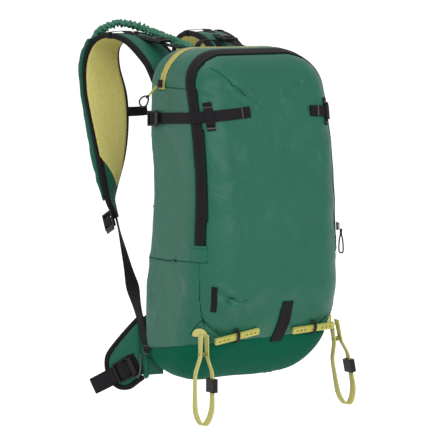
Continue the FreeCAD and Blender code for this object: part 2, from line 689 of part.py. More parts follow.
def ski_loops():
    """Ski loops hang from the lower front corners: a flat stem and a teardrop of webbing."""
    drop = size("loop_length")
    half = size("loop_web") / 2
    wide, low = 16, drop - 18
    outer = [(-6, 0), (6, 0), (7, -34), (wide, -54), (wide, -low), (6, -drop), (-6, -drop), (-wide, -low),
             (-wide, -54), (-7, -34)]
    eye = wide - WEB - 1
    inner = [(0, -38), (eye, -56), (eye, 2 - low), (5, WEB + 1 - drop), (-5, WEB + 1 - drop), (-eye, 2 - low),
             (-eye, -56)]
    for side in (LEFT, RIGHT):
        body = new_body(SIDE_NAME[side] + "_ski_loop")
        loops = [[("%g" % x, "%g" % y) for x, y in ring] for ring in (outer, inner)]
        add_pad(body, "webbing_loop", "XY_Plane", loops, "Sizes.loop_web", middle=True)
        slant = {LEFT: 0.0, RIGHT: 12.0}[side]
        up = FreeCAD.Rotation(V(0, -1, 0), slant).multVec(V(0, 0, 1))
        seat = loop_seat(side * size("loop_exit_x"), size("loop_exit_level"), up, half)
        settle(body, SIDE_NAME[side] + "_ski_loop", placed(seat, up, V(0, -1, 0)))
        ring = new_body(SIDE_NAME[side] + "_loop_adjuster")
        deep = "(Sizes.loop_web / 2 + Sizes.run_gap)"
        frame = rectangle("%g" % (wide - 6), "-%s - 2" % deep, "%g" % (wide + 3), deep + " + 2")
        slot = rectangle("%g - Sizes.web_thick - Sizes.run_gap" % (wide - 1), "-" + deep,
                         "%g + Sizes.run_gap" % wide, deep)
        add_pad(ring, "frame", "XZ_Plane", [frame, slot], "Sizes.adjuster_length", "Sizes.adjuster_drop")
        settle(ring, SIDE_NAME[side] + "_loop_adjuster", placed(seat, up, V(0, -1, 0)))


def haul_loop():
    """Haul loop: an arch of webbing sewn to the back panel; the origin is inside its arch."""
    half = size("haul_width") / 2
    root, top, y = size("haul_root"), size("haul_top"), size("haul_y")
    reach = size("haul_web") / 2
    t = WEB * 1.5
    bend = top - half * 0.5
    outer = [V(-half - t, y, root), V(-half - t, y, bend), V(-half * 0.5, y, top + t), V(half * 0.5, y, top + t),
             V(half + t, y, bend), V(half + t, y, root)]
    inner = [V(-half, y, root), V(-half, y, bend), V(-half * 0.5, y, top), V(half * 0.5, y, top),
             V(half, y, bend), V(half, y, root)]
    face = Part.Face(Part.Wire(chain(outer + inner[::-1] + [outer[0]])))
    face.translate(V(0, -reach, 0))
    arch = face.extrude(V(0, 2 * reach, 0))
    feature("haul_loop", arch.cut(bag_solid(GAP)))


# ---------------------------------------------------------------------------------------------
# Back of the bag
# ---------------------------------------------------------------------------------------------
def back_system():
    body = new_body("back_foam_pad")
    half = "Sizes.pad_half_width"
    outline = rectangle("-" + half, "Sizes.pad_low", half, "Sizes.pad_high")
    add_pad(body, "foam", "XZ_Plane", [outline], "Sizes.pad_thick",
            "-(Sizes.back_y + Sizes.seat_gap + Sizes.pad_thick)")
    round_edges(body, "corners", "22", V(0, 1, 0))
    channel = rectangle("-Sizes.pad_channel / 2", "Sizes.pad_low - 5", "Sizes.pad_channel / 2", "Sizes.pad_high + 5")
    add_pocket(body, "air_channel", "XZ_Plane", [channel], "5",
               "-(Sizes.back_y + Sizes.seat_gap + Sizes.pad_thick)", reverse=True)
    settle(body, "back_foam_pad")

    inside = "(Sizes.back_y - Sizes.wall - Sizes.seat_gap)"
    body = new_body("framesheet")
    half = "Sizes.sheet_half_width"
    add_pad(body, "plate", "XZ_Plane", [rectangle("-" + half, "Sizes.sheet_low", half, "Sizes.sheet_high")],
            "Sizes.sheet_thick", "-" + inside)
    round_edges(body, "corners", "30", V(0, 1, 0))
    settle(body, "framesheet")

    body = new_body("aluminium_stay")
    front = "(%s - Sizes.sheet_thick - Sizes.seat_gap)" % inside
    half = "Sizes.stay_width / 2"
    add_pad(body, "bar", "XZ_Plane", [rectangle("-" + half, "Sizes.sheet_low + 12", half, "Sizes.sheet_high - 14")],
            "Sizes.stay_thick", "-" + front)
    round_edges(body, "corners", "8", V(0, 1, 0))
    settle(body, "aluminium_stay")

    body = new_body("reservoir_sleeve")
    half = "Sizes.sleeve_half_width"
    narrow = "(Sizes.sleeve_half_width - Sizes.sleeve_thick)"
    low = "Sizes.sheet_low + 4"
    bottom = "(%s - Sizes.sleeve_gap)" % front
    inner = "(%s + Sizes.sleeve_thick)" % bottom
    outline = [("-" + half, front), ("-" + half, bottom), (half, bottom), (half, front),
               (narrow, front), (narrow, inner), ("-" + narrow, inner), ("-" + narrow, front)]
    add_pad(body, "pocket_wall", "XY_Plane", [outline], "Sizes.sleeve_high - Sizes.sheet_low - 4", low)
    settle(body, "reservoir_sleeve")


# ---------------------------------------------------------------------------------------------
# Shoulder harness
# ---------------------------------------------------------------------------------------------
# Outer and inner edge of the left strap, from its root over the shoulder to its lower tip
STRAP_ROOT = size("back_y") + size("strap_thick") / 2 - size("strap_root")
STRAP_EDGES = [
    ((-100, STRAP_ROOT, 438), (-36, STRAP_ROOT, 438)), ((-100, 105, 458), (-36, 105, 458)),
    ((-100, 122, 474), (-36, 124, 475)), ((-102, 165, 500), (-40, 170, 502)),
    ((-105, 204, 509.5), (-44, 214, 510)), ((-107, 236, 507), (-48, 248, 504)),
    ((-110, 260, 492), (-51, 267, 487)), ((-113, 272, 463), (-50, 268, 458)),
    ((-116, 267, 424), (-52, 245, 420)), ((-119, 251, 390), (-57, 231, 388)),
    ((-124, 230, 358), (-66, 219, 354)), ((-130, 206, 324), (-79, 208, 320)),
    ((-136, 182, 291), (-95, 198, 291)), ((-138, 164, 262), (-112, 187, 263)),
    ((-134, 158, 247), (-117, 176, 248)),
]


def strap_stations(side):
    """Centre, half-width vector and outward normal at each station of a strap."""
    rows = []
    for outer, inner in STRAP_EDGES:
        out, ins = V(*outer), V(*inner)
        if side == RIGHT:
            out.x, ins.x = -out.x, -ins.x
        rows.append(((out + ins) * 0.5, (out - ins) * 0.5))
    result = []
    for i, (centre, half) in enumerate(rows):
        ahead = rows[min(i + 1, len(rows) - 1)][0] - rows[max(i - 1, 0)][0]
        normal = ahead.cross(half).normalize() * (-side)
        result.append((centre, half, normal))
    return result


def strap_band(stations, near, far, centre_shift, half_scale):
    """Solid over part of a strap between two offsets along its normal."""
    wires = []
    for centre, half, normal in stations:
        mid = centre + half * centre_shift
        w = half * half_scale
        a, b = normal * near, normal * far
        wires.append(Part.makePolygon([mid - w + a, mid + w + a, mid + w + b, mid - w + b, mid - w + a]))
    return Part.makeLoft(wires, True, True)


def between(a, b, share):
    return a + (b - a) * share


def shoulder_harness():
    thick = size("strap_thick")
    for side in (LEFT, RIGHT):
        name = SIDE_NAME[side]
        stations = strap_stations(side)
        feature(name + "_shoulder_strap", strap_band(stations, -thick / 2, thick / 2, 0, 1))
        # load lifter: from the crest of the strap to the crown of the bag
        crest = stations[4][0] + stations[4][2] * (thick / 2 + GAP + WEB / 2)
        anchor = V(side * 56, size("back_y") - 2, HEIGHT - 3)
        across = V(1, 0, 0)
        run = [(anchor, across), (crest, across)]
        feature(name + "_lifter_webbing", ribbon_shape(run, size("lifter_web"), WEB).cut(bag_solid(GAP)))
        along = (crest - anchor).normalize()
        lift = across.cross(along).normalize()
        spot = between(anchor, crest, 0.36) + lift * (WEB / 2 + RUN)
        ladder_lock(name + "_lifter_lock", "lifter_web", placed(spot, -along, lift))
        # lower webbing: from the tip of the strap to the bag's lower corner
        tip, half, normal = stations[-1]
        tip = tip + (tip - stations[-2][0]).normalize() * (GAP + WEB)
        foot_y = size("back_y") - 22
        foot = V(side * (side_x(foot_y, 41) + GAP + WEB), foot_y, 41)
        edge = V(half).normalize()
        run = [(tip, edge), (between(tip, foot, 0.35), edge + V(0, 0.5, 0)), (between(tip, foot, 0.7), V(0, 1, -0.3)),
               (foot, V(0, 1, 0))]
        feature(name + "_lower_webbing", ribbon_shape(run, size("lower_web"), WEB).cut(bag_solid(GAP)))
        along = (foot - tip).normalize()
        out = V(side, 0, 0)
        out = (out - along * out.dot(along)).normalize()
        edge = along.cross(out)
        spot = tip + along * size("lock_drop") + out * (size("lower_web") / 2 + RUN)
        ladder_lock(name + "_strap_lock", "lower_web", placed(spot, -along, out))


def hose_route():
    """Insulated hose sleeve: leaves the crown, passes over the left strap and ends in its sleeve."""
    return [V(-37, 78, 493), V(-39, 106, 500), V(-41, 140, 506), V(-46, 172, 514), V(-56, 197, 523),
            V(-70, 221, 529), V(-82, 240, 526), V(-90, 256, 516)]


def tangent_tube(points, radius):
    """Tube of straight runs joined by tangent arcs."""
    edges = []
    start = points[0]
    for i in range(1, len(points) - 1):
        before, here, after = points[i - 1], points[i], points[i + 1]
        a, b = (before - here).normalize(), (after - here).normalize()
        turn = math.pi - a.getAngle(b)
        cut = 0.45 * min((before - here).Length, (after - here).Length)
        first, last = here + a * cut, here + b * cut
        reach = cut / math.tan(turn / 2) * (1 / math.cos(turn / 2) - 1)
        middle = here + (a + b).normalize() * reach
        edges.append(Part.LineSegment(start, first).toShape())
        edges.append(Part.Arc(first, middle, last).toShape())
        start = last
    edges.append(Part.LineSegment(start, points[-1]).toShape())
    path = Part.Wire(edges)
    ring = Part.Wire(Part.makeCircle(radius, points[0], points[1] - points[0]))
    tube = path.makePipeShell([ring], True, False)
    expected = math.pi * radius ** 2 * path.Length
    if abs(tube.Volume - expected) > 0.02 * expected:
        raise RuntimeError("the hose sleeve's volume is off")
    return tube


def hydration_hose():
    thick = size("strap_thick") / 2
    tube = tangent_tube(hose_route(), size("hose_radius"))
    feature("hose_sleeve", tube.cut(bag_solid(GAP)))
    stations = strap_stations(LEFT)[6:14]
    near = thick + GAP
    sleeve = strap_band(stations, near, near + size("sleeve_bulge"), 0.55, 0.45)
    feature("strap_hose_sleeve", sleeve.cut(tangent_tube(hose_route(), size("hose_radius") + GAP)))


def sternum_strap():
    """Sternum strap on two rails that run straight down the chest part of the straps."""
    thick = size("strap_thick") / 2
    stations = strap_stations(LEFT)
    x, radius = size("rail_x"), size("rail_radius")

    def rail_end(station, stand):
        centre, width, normal = station
        return centre + width * ((-x - centre.x) / width.x) + normal * (thick + stand)

    start, end = rail_end(stations[8], size("rail_stand") + 0.1), rail_end(stations[10], size("rail_stand") - 0.2)
    run = V(0, end.y - start.y, end.z - start.z)
    axis = V(run).normalize()
    centre = between(start, end, 0.42)
    level = centre + V(0, radius + 2, 0)
    half = size("sternum_web") / 2
    out = V(0, -axis.z, axis.y).normalize()
    out = out if out.y > 0 else -out
    for side in (LEFT, RIGHT):
        name = SIDE_NAME[side]
        rail = Part.makeCylinder(radius, run.Length, V(side * x, start.y, start.z), axis)
        for foot in (start, end - axis * 6):
            block = Part.makeBox(5, 6, 7, V(-2.5, 0, -7))
            block.Placement = placed(V(side * x, foot.y, foot.z), axis, out)
            rail = rail.fuse(block)
        strap = strap_band(strap_stations(side), -40, thick + GAP, 0, 1)
        feature(name + "_sternum_rail", rail.removeSplitter().cut(strap))
        grip = Part.makeBox(8, 14, radius + 6, V(-4, -7, -3.8))
        bore = Part.makeCylinder(radius + RUN, 30, V(0, -15, 0), V(0, 1, 0))
        clip = grip.cut(bore)
        clip.Placement = placed(V(side * x, centre.y, centre.z), axis, out)
        inner = {LEFT: 10.0, RIGHT: 28.0}[side]
        x0, x1 = sorted((side * (x - 4), inner))
        web = Part.makeBox(x1 - x0, WEB, 2 * half, V(x0, level.y - WEB / 2, level.z - half))
        feature(name + "_sternum_webbing", clip.fuse(web).removeSplitter())
    stand = size("buckle_thick") / 2 + RUN + WEB / 2
    spot = placed(V(2.0, level.y - stand, level.z), V(1, 0, 0), V(0, 1, 0))
    buckle_female("sternum_socket", "sternum_web", spot)
    buckle_male("sternum_prongs", "sternum_web", spot)


# ---------------------------------------------------------------------------------------------
# Hip belt
# ---------------------------------------------------------------------------------------------
WING_OUTLINE = [("5 + Sizes.run_gap", "95"), ("32", "70"), ("62", "36"), ("70", "22"), ("69", "3"),
                ("59", "-17"), ("44", "-25"), ("25", "-22"), ("5 + Sizes.run_gap", "-6")]


def wing_axes(side):
    """Directions of a wing: out along it, and off its outer face."""
    turn = math.radians(size("wing_angle"))
    out = V(-side * math.cos(turn), math.sin(turn), 0)
    return out, V(side * out.y, -side * out.x, 0)


def wing_point(side, along, level, off):
    """Point on a wing: distance from its hinge, level, distance off its middle plane."""
    out, face = wing_axes(side)
    return V(side * size("wing_x"), size("wing_y"), level) + out * along + face * off


def hip_belt():
    half_wing = size("wing_thick") / 2
    near = half_wing + GAP
    for side in (LEFT, RIGHT):
        name = SIDE_NAME[side]
        out, face = wing_axes(side)
        body = new_body(name + "_hip_wing")
        add_pad(body, "padding", "XY_Plane", [WING_OUTLINE], "Sizes.wing_thick", middle=True)
        round_edges(body, "corners", "8", V(0, 0, 1))
        settle(body, name + "_hip_wing", placed(wing_point(side, 0, 0, 0), V(0, 0, 1), out.cross(V(0, 0, 1))))
        piping = Part.makeCylinder(size("piping_radius"), 98, V(side * size("wing_x"), size("wing_y"), -5))
        feature(name + "_wing_piping", piping.cut(bag_solid(GAP)))
        start = wing_point(side, size("hip_lock_out"), size("hip_lock_level"), 0)
        end = wing_point(side, size("hip_fold_out"), size("hip_fold_level"), 0)
        run = (end - start).normalize()
        reach = (end - start).Length
        body = new_body(name + "_hip_webbing")
        a, b = "(Sizes.wing_thick / 2 + Sizes.seat_gap)", "(Sizes.wing_thick / 2 + Sizes.seat_gap + Sizes.web_thick)"
        tip = "%.1f" % reach
        fold = tip + " + Sizes.web_thick"
        hairpin = [("-20", a), (tip, a), (tip, "-" + a), ("-4", "-" + a), ("-4", "-" + b), (fold, "-" + b),
                   (fold, b), ("-20", b)]
        hairpin = [(px, "%s * %s" % (-side, py)) for px, py in hairpin]
        add_pad(body, "hairpin", "XY_Plane", [hairpin], "Sizes.hip_web", middle=True)
        settle(body, name + "_hip_webbing", placed(start, -side * face, run.cross(-side * face)))
        spot = start + face * (near + WEB + RUN)
        ladder_lock(name + "_hip_lock", "hip_web", placed(spot, run, face))
        spot = start + run * (-4 - GAP) - face * (near + size("buckle_thick") / 2 + 0.2)
        if side == LEFT:
            buckle_female("hip_socket", "hip_web", placed(spot, -run, -face))
        else:
            reach = size("buckle_length") + size("buckle_base")
            buckle_male("hip_prongs", "hip_web", placed(spot - run * reach, run, -face))


def main():
    bag_panels()
    compression_straps()
    front_strips()
    zip_sliders()
    toggles()
    ski_loops()
    haul_loop()
    back_system()
    shoulder_harness()
    hydration_hose()
    sternum_strap()
    hip_belt()
    doc.recompute()
    bad = [obj.Name for obj in doc.Objects if {"Invalid", "Error"} & set(obj.State)]
    bad += [label for label, obj in nodes.items() if obj.Shape.isNull() or not obj.Shape.isValid()]
    if bad:
        raise RuntimeError("failed objects: %s" % bad)
    os.makedirs("parts", exist_ok=True)
    for label, obj in nodes.items():
        obj.Shape.exportStep(os.path.join("parts", label + ".step"))
        print("%-26s %d solid(s) %9.0f mm3" % (label, len(obj.Shape.Solids), obj.Shape.Volume))


main()
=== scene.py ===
"""Ski-touring backpack: cloth, padding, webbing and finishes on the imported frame."""

import sys

import logging
import math
from dataclasses import dataclass, field
from enum import Enum
from typing import Callable, Iterable, Sequence

import bmesh
import bpy
from bmesh.types import BMesh, BMFace, BMVert
from bpy.types import Material, Node, NodeSocket, NodeTree, Object
from mathutils import Matrix, Vector, noise
from mathutils.bvhtree import BVHTree


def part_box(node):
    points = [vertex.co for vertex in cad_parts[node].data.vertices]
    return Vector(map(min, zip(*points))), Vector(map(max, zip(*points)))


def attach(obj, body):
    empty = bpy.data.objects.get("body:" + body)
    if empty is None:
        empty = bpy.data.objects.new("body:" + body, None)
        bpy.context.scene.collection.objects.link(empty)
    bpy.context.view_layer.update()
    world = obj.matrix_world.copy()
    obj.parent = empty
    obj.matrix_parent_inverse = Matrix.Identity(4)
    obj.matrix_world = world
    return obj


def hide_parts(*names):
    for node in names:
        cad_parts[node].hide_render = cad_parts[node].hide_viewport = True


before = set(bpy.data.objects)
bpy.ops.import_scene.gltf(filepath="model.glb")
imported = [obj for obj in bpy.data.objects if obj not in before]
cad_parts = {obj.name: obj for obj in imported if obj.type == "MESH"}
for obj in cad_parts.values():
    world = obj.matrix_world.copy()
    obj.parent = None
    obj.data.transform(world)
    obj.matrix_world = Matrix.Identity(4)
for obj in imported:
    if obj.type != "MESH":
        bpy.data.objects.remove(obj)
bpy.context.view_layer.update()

log = logging.getLogger("backpack")
logging.basicConfig(level=logging.INFO, format="%(name)s: %(message)s", stream=sys.stdout)

MM = 0.001
# The bag is drawn standing on z = 0 in millimetres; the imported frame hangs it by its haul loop.
HANG = Vector((0.0, -93.0, -503.0))
TO_ROW = Matrix.Scale(MM, 4) @ Matrix.Translation(HANG)
FROM_ROW = TO_ROW.inverted()
V = Vector
UP, OUT_BACK, ALONG_X = V((0, 0, 1)), V((0, 1, 0)), V((1, 0, 0))
# Thickness of pack webbing, and how near the cutting planes a vertex may lie.
WEB = 1.6
ON_PLANE = 0.0005
# Frames that a padded piece is blown up for.
PUFF_FRAMES = 20
# Painted shade multiplied into the hollows of a weave, and the range of a moulding's shade.
WEAVE_HOLLOW_PAINTED_SHADE = (0.62, 0.62, 0.62, 1.0)
WORN_GAINS = (0.85, 1.18)


class Side(Enum):
    """A side of the bag, seen from the front; the value is its sign along X."""

    LEFT = -1
    RIGHT = 1

    @property
    def word(self) -> str:
        """Lower-case name that the CAD nodes and bodies start with."""
        return self.name.lower()


# ---------------------------------------------------------------------------------------------
# Finishes
# ---------------------------------------------------------------------------------------------
def linear(hex_code: str) -> tuple[float, float, float, float]:
    """Turn an sRGB hex code into a linear colour.

    Args:
        hex_code: Colour as "#RRGGBB".

    Returns:
        Linear red, green and blue, and an alpha of 1.
    """
    parts = [int(hex_code[i:i + 2], 16) / 255 for i in (1, 3, 5)]
    return tuple([p / 12.92 if p <= 0.04045 else ((p + 0.055) / 1.055) ** 2.4 for p in parts] + [1.0])


def add_node(tree: NodeTree, kind: str, inputs: dict | None = None, **settings) -> Node:
    """Add a node, set it up and wire its inputs.

    Args:
        tree: Node tree that receives the node.
        kind: Node type.
        inputs: Input name or number to a value, or to the output socket that feeds it.
        settings: The node's own properties.

    Returns:
        The new node.
    """
    node = tree.nodes.new(kind)
    for key, value in settings.items():
        setattr(node, key, value)
    for key, value in (inputs or {}).items():
        if isinstance(value, NodeSocket):
            tree.links.new(value, node.inputs[key])
        else:
            node.inputs[key].default_value = value
    return node


def blank_material(name: str) -> tuple[Material, NodeTree]:
    """A new material and its node tree, emptied."""
    material = bpy.data.materials.new(name)
    material.use_nodes = True
    material.node_tree.nodes.clear()
    return material, material.node_tree


def colours(sockets: Iterable[NodeSocket]) -> list[NodeSocket]:
    """The colour sockets among a mix node's many."""
    return [socket for socket in sockets if socket.type == "RGBA"]


def bands(pitch_mm: float) -> float:
    """Wave-texture scale whose stripes are pitch_mm apart on coordinates in metres."""
    return 2 * math.pi / (20 * pitch_mm * MM)


class Weave(Enum):
    """How a textile is made, which sets the pattern of its surface."""

    PLAIN = "plain weave: fine crossed threads"
    RIBBED = "ribbed weave: cords along the length"
    GROSGRAIN = "grosgrain: ribs across the length"
    MESH = "knitted spacer mesh: small holes"
    RUCHED = "plain weave gathered on elastic"


@dataclass(frozen=True)
class Textile:
    """A cloth or webbing finish whose threads follow the piece's own map.

    The two shades are mixed slowly over the piece, as dyed nylon is never one flat colour, and
    the weave is drawn as bump at a real pitch.
    """

    name: str
    shade: str
    second_shade: str
    weave: Weave
    pitch_mm: float
    bump: float = 0.25
    roughness: float = 0.7
    sheen: float = 0.2
    sheen_shade: str = "#FFFFFF"
    specular: float = 0.35
    crease_mm: float = 0.0

    def build(self) -> Material:
        """Make the node material."""
        material, tree = blank_material(self.name)
        thread = add_node(tree, "ShaderNodeUVMap", uv_map="cloth")
        place = add_node(tree, "ShaderNodeTexCoord")
        blotch = add_node(tree, "ShaderNodeTexNoise", {"Vector": place.outputs["Object"], "Scale": 14.0,
                                                       "Detail": 4.0, "Roughness": 0.6})
        mixed = add_node(tree, "ShaderNodeMix", {"Factor": blotch.outputs["Fac"]}, data_type="RGBA")
        for socket, shade in zip(colours(mixed.inputs), (self.shade, self.second_shade)):
            socket.default_value = linear(shade)
        height, dark = self.pattern(tree, thread.outputs["UV"])
        shadow = add_node(tree, "ShaderNodeMix", {"Factor": dark}, data_type="RGBA", blend_type="MULTIPLY")
        under, over = colours(shadow.inputs)
        tree.links.new(colours(mixed.outputs)[0], under)
        over.default_value = WEAVE_HOLLOW_PAINTED_SHADE
        bump = add_node(tree, "ShaderNodeBump", {"Height": height, "Strength": self.bump,
                                                 "Distance": self.pitch_mm * MM * 0.5})
        if self.crease_mm:
            # Soft creases about 3 cm apart that thin coated cloth keeps from folding.
            crease = add_node(tree, "ShaderNodeTexNoise", {"Vector": place.outputs["Object"], "Scale": 30.0,
                                                           "Detail": 5.0, "Roughness": 0.55, "Distortion": 1.4})
            add_bump = add_node(tree, "ShaderNodeBump", {"Height": crease.outputs["Fac"], "Strength": 1.0,
                                                         "Distance": self.crease_mm * MM})
            tree.links.new(add_bump.outputs["Normal"], bump.inputs["Normal"])
        shader = add_node(tree, "ShaderNodeBsdfPrincipled", {
            "Base Color": colours(shadow.outputs)[0], "Normal": bump.outputs["Normal"],
            "Roughness": self.roughness, "Sheen Weight": self.sheen, "Sheen Roughness": 0.45,
            "Sheen Tint": linear(self.sheen_shade), "Specular IOR Level": self.specular, "IOR": 1.53})
        add_node(tree, "ShaderNodeOutputMaterial", {"Surface": shader.outputs["BSDF"]})
        return material

    def pattern(self, tree: NodeTree, thread: NodeSocket) -> tuple:
        """Draw the weave.

        Args:
            tree: The material's node tree.
            thread: Map with u across the piece and v along it, in metres.

        Returns:
            The height for the bump and a factor that darkens the hollows with painted shade.
        """
        if self.weave is Weave.MESH:
            cell = add_node(tree, "ShaderNodeTexVoronoi", {"Vector": thread, "Scale": 1 / (self.pitch_mm * MM),
                                                           "Randomness": 0.35}, feature="F1")
            hole = add_node(tree, "ShaderNodeMapRange", {"Value": cell.outputs["Distance"], "From Min": 0.15,
                                                         "From Max": 0.5, "To Min": 0.7, "To Max": 0.0})
            return cell.outputs["Distance"], hole.outputs["Result"]
        axes = {Weave.PLAIN: ("X", "Y"), Weave.RUCHED: ("X", "Y"), Weave.RIBBED: ("X",),
                Weave.GROSGRAIN: ("Y",)}[self.weave]
        waves = [add_node(tree, "ShaderNodeTexWave", {"Vector": thread, "Scale": bands(self.pitch_mm),
                                                      "Distortion": 0.4, "Detail": 1.0, "Detail Scale": 2.0},
                          wave_type="BANDS", bands_direction=axis).outputs["Fac"] for axis in axes]
        height = waves[0]
        if len(waves) == 2:
            height = add_node(tree, "ShaderNodeMath", {0: waves[0], 1: waves[1]}, operation="MULTIPLY").outputs[0]
        hollow = add_node(tree, "ShaderNodeMapRange", {"Value": height, "From Min": 0.0, "From Max": 0.6,
                                                       "To Min": 0.45, "To Max": 0.0})
        return height, hollow.outputs["Result"]


@dataclass(frozen=True)
class Zipper:
    """A zip seen from outside: a tape with a closed coil or a coated seam along its middle."""

    name: str
    tape: str
    coil: str
    coil_mm: float
    tooth_mm: float
    roughness: float = 0.5

    def build(self) -> Material:
        """Make the node material; u runs across the tape from its middle and v along it."""
        material, tree = blank_material(self.name)
        thread = add_node(tree, "ShaderNodeUVMap", uv_map="cloth")
        split = add_node(tree, "ShaderNodeSeparateXYZ", {0: thread.outputs["UV"]})
        off = add_node(tree, "ShaderNodeMath", {0: split.outputs["X"]}, operation="ABSOLUTE")
        inside = add_node(tree, "ShaderNodeMapRange", {"Value": off.outputs[0],
                                                       "From Min": self.coil_mm * MM * 0.42,
                                                       "From Max": self.coil_mm * MM * 0.5,
                                                       "To Min": 1.0, "To Max": 0.0})
        teeth = add_node(tree, "ShaderNodeTexWave", {"Vector": thread.outputs["UV"], "Scale": bands(self.tooth_mm)},
                         wave_type="BANDS", bands_direction="Y")
        tooth = add_node(tree, "ShaderNodeMath", {0: teeth.outputs["Fac"], 1: inside.outputs["Result"]},
                         operation="MULTIPLY")
        edge = add_node(tree, "ShaderNodeMapRange", {"Value": off.outputs[0], "From Min": 0.0,
                                                     "From Max": 0.7 * MM, "To Min": 0.0, "To Max": 1.0})
        mixed = add_node(tree, "ShaderNodeMix", {"Factor": tooth.outputs[0]}, data_type="RGBA")
        for socket, shade in zip(colours(mixed.inputs), (self.tape, self.coil)):
            socket.default_value = linear(shade)
        height = add_node(tree, "ShaderNodeMath", {0: inside.outputs["Result"], 1: tooth.outputs[0]},
                          operation="ADD")
        slit = add_node(tree, "ShaderNodeMath", {0: height.outputs[0], 1: edge.outputs["Result"]},
                        operation="MULTIPLY")
        bump = add_node(tree, "ShaderNodeBump", {"Height": slit.outputs[0], "Strength": 0.6,
                                                 "Distance": 0.8 * MM})
        shader = add_node(tree, "ShaderNodeBsdfPrincipled", {
            "Base Color": colours(mixed.outputs)[0], "Normal": bump.outputs["Normal"],
            "Roughness": self.roughness, "Specular IOR Level": 0.12})
        add_node(tree, "ShaderNodeOutputMaterial", {"Surface": shader.outputs["BSDF"]})
        return material


@dataclass(frozen=True)
class Solid:
    """A moulded, cast or rolled part: even colour with a fine grain in its gloss and surface."""

    name: str
    shade: str
    roughness: float
    grain_mm: float
    bump: float = 0.12
    metallic: float = 0.0
    stretch: float = 1.0
    specular: float = 0.3

    def build(self) -> Material:
        """Make the node material."""
        material, tree = blank_material(self.name)
        place = add_node(tree, "ShaderNodeTexCoord")
        grain_map = add_node(tree, "ShaderNodeMapping", {"Vector": place.outputs["Object"],
                                                         "Scale": (1.0, 1.0, self.stretch)})
        grain = add_node(tree, "ShaderNodeTexNoise", {"Vector": grain_map.outputs["Vector"],
                                                      "Scale": 1 / (self.grain_mm * MM), "Detail": 3.0})
        rough = add_node(tree, "ShaderNodeMapRange", {"Value": grain.outputs["Fac"],
                                                      "To Min": self.roughness - 0.08,
                                                      "To Max": self.roughness + 0.1})
        worn = add_node(tree, "ShaderNodeTexNoise", {"Vector": place.outputs["Object"], "Scale": 60.0})
        mixed = add_node(tree, "ShaderNodeMix", {"Factor": worn.outputs["Fac"]}, data_type="RGBA")
        base = linear(self.shade)
        for socket, gain in zip(colours(mixed.inputs), WORN_GAINS):
            socket.default_value = tuple([min(1.0, c * gain) for c in base[:3]] + [1.0])
        bump = add_node(tree, "ShaderNodeBump", {"Height": grain.outputs["Fac"], "Strength": self.bump,
                                                 "Distance": self.grain_mm * MM * 0.3})
        shader = add_node(tree, "ShaderNodeBsdfPrincipled", {
            "Base Color": colours(mixed.outputs)[0], "Roughness": rough.outputs["Result"],
            "Normal": bump.outputs["Normal"], "Metallic": self.metallic, "Specular IOR Level": self.specular})
        add_node(tree, "ShaderNodeOutputMaterial", {"Surface": shader.outputs["BSDF"]})
        return material


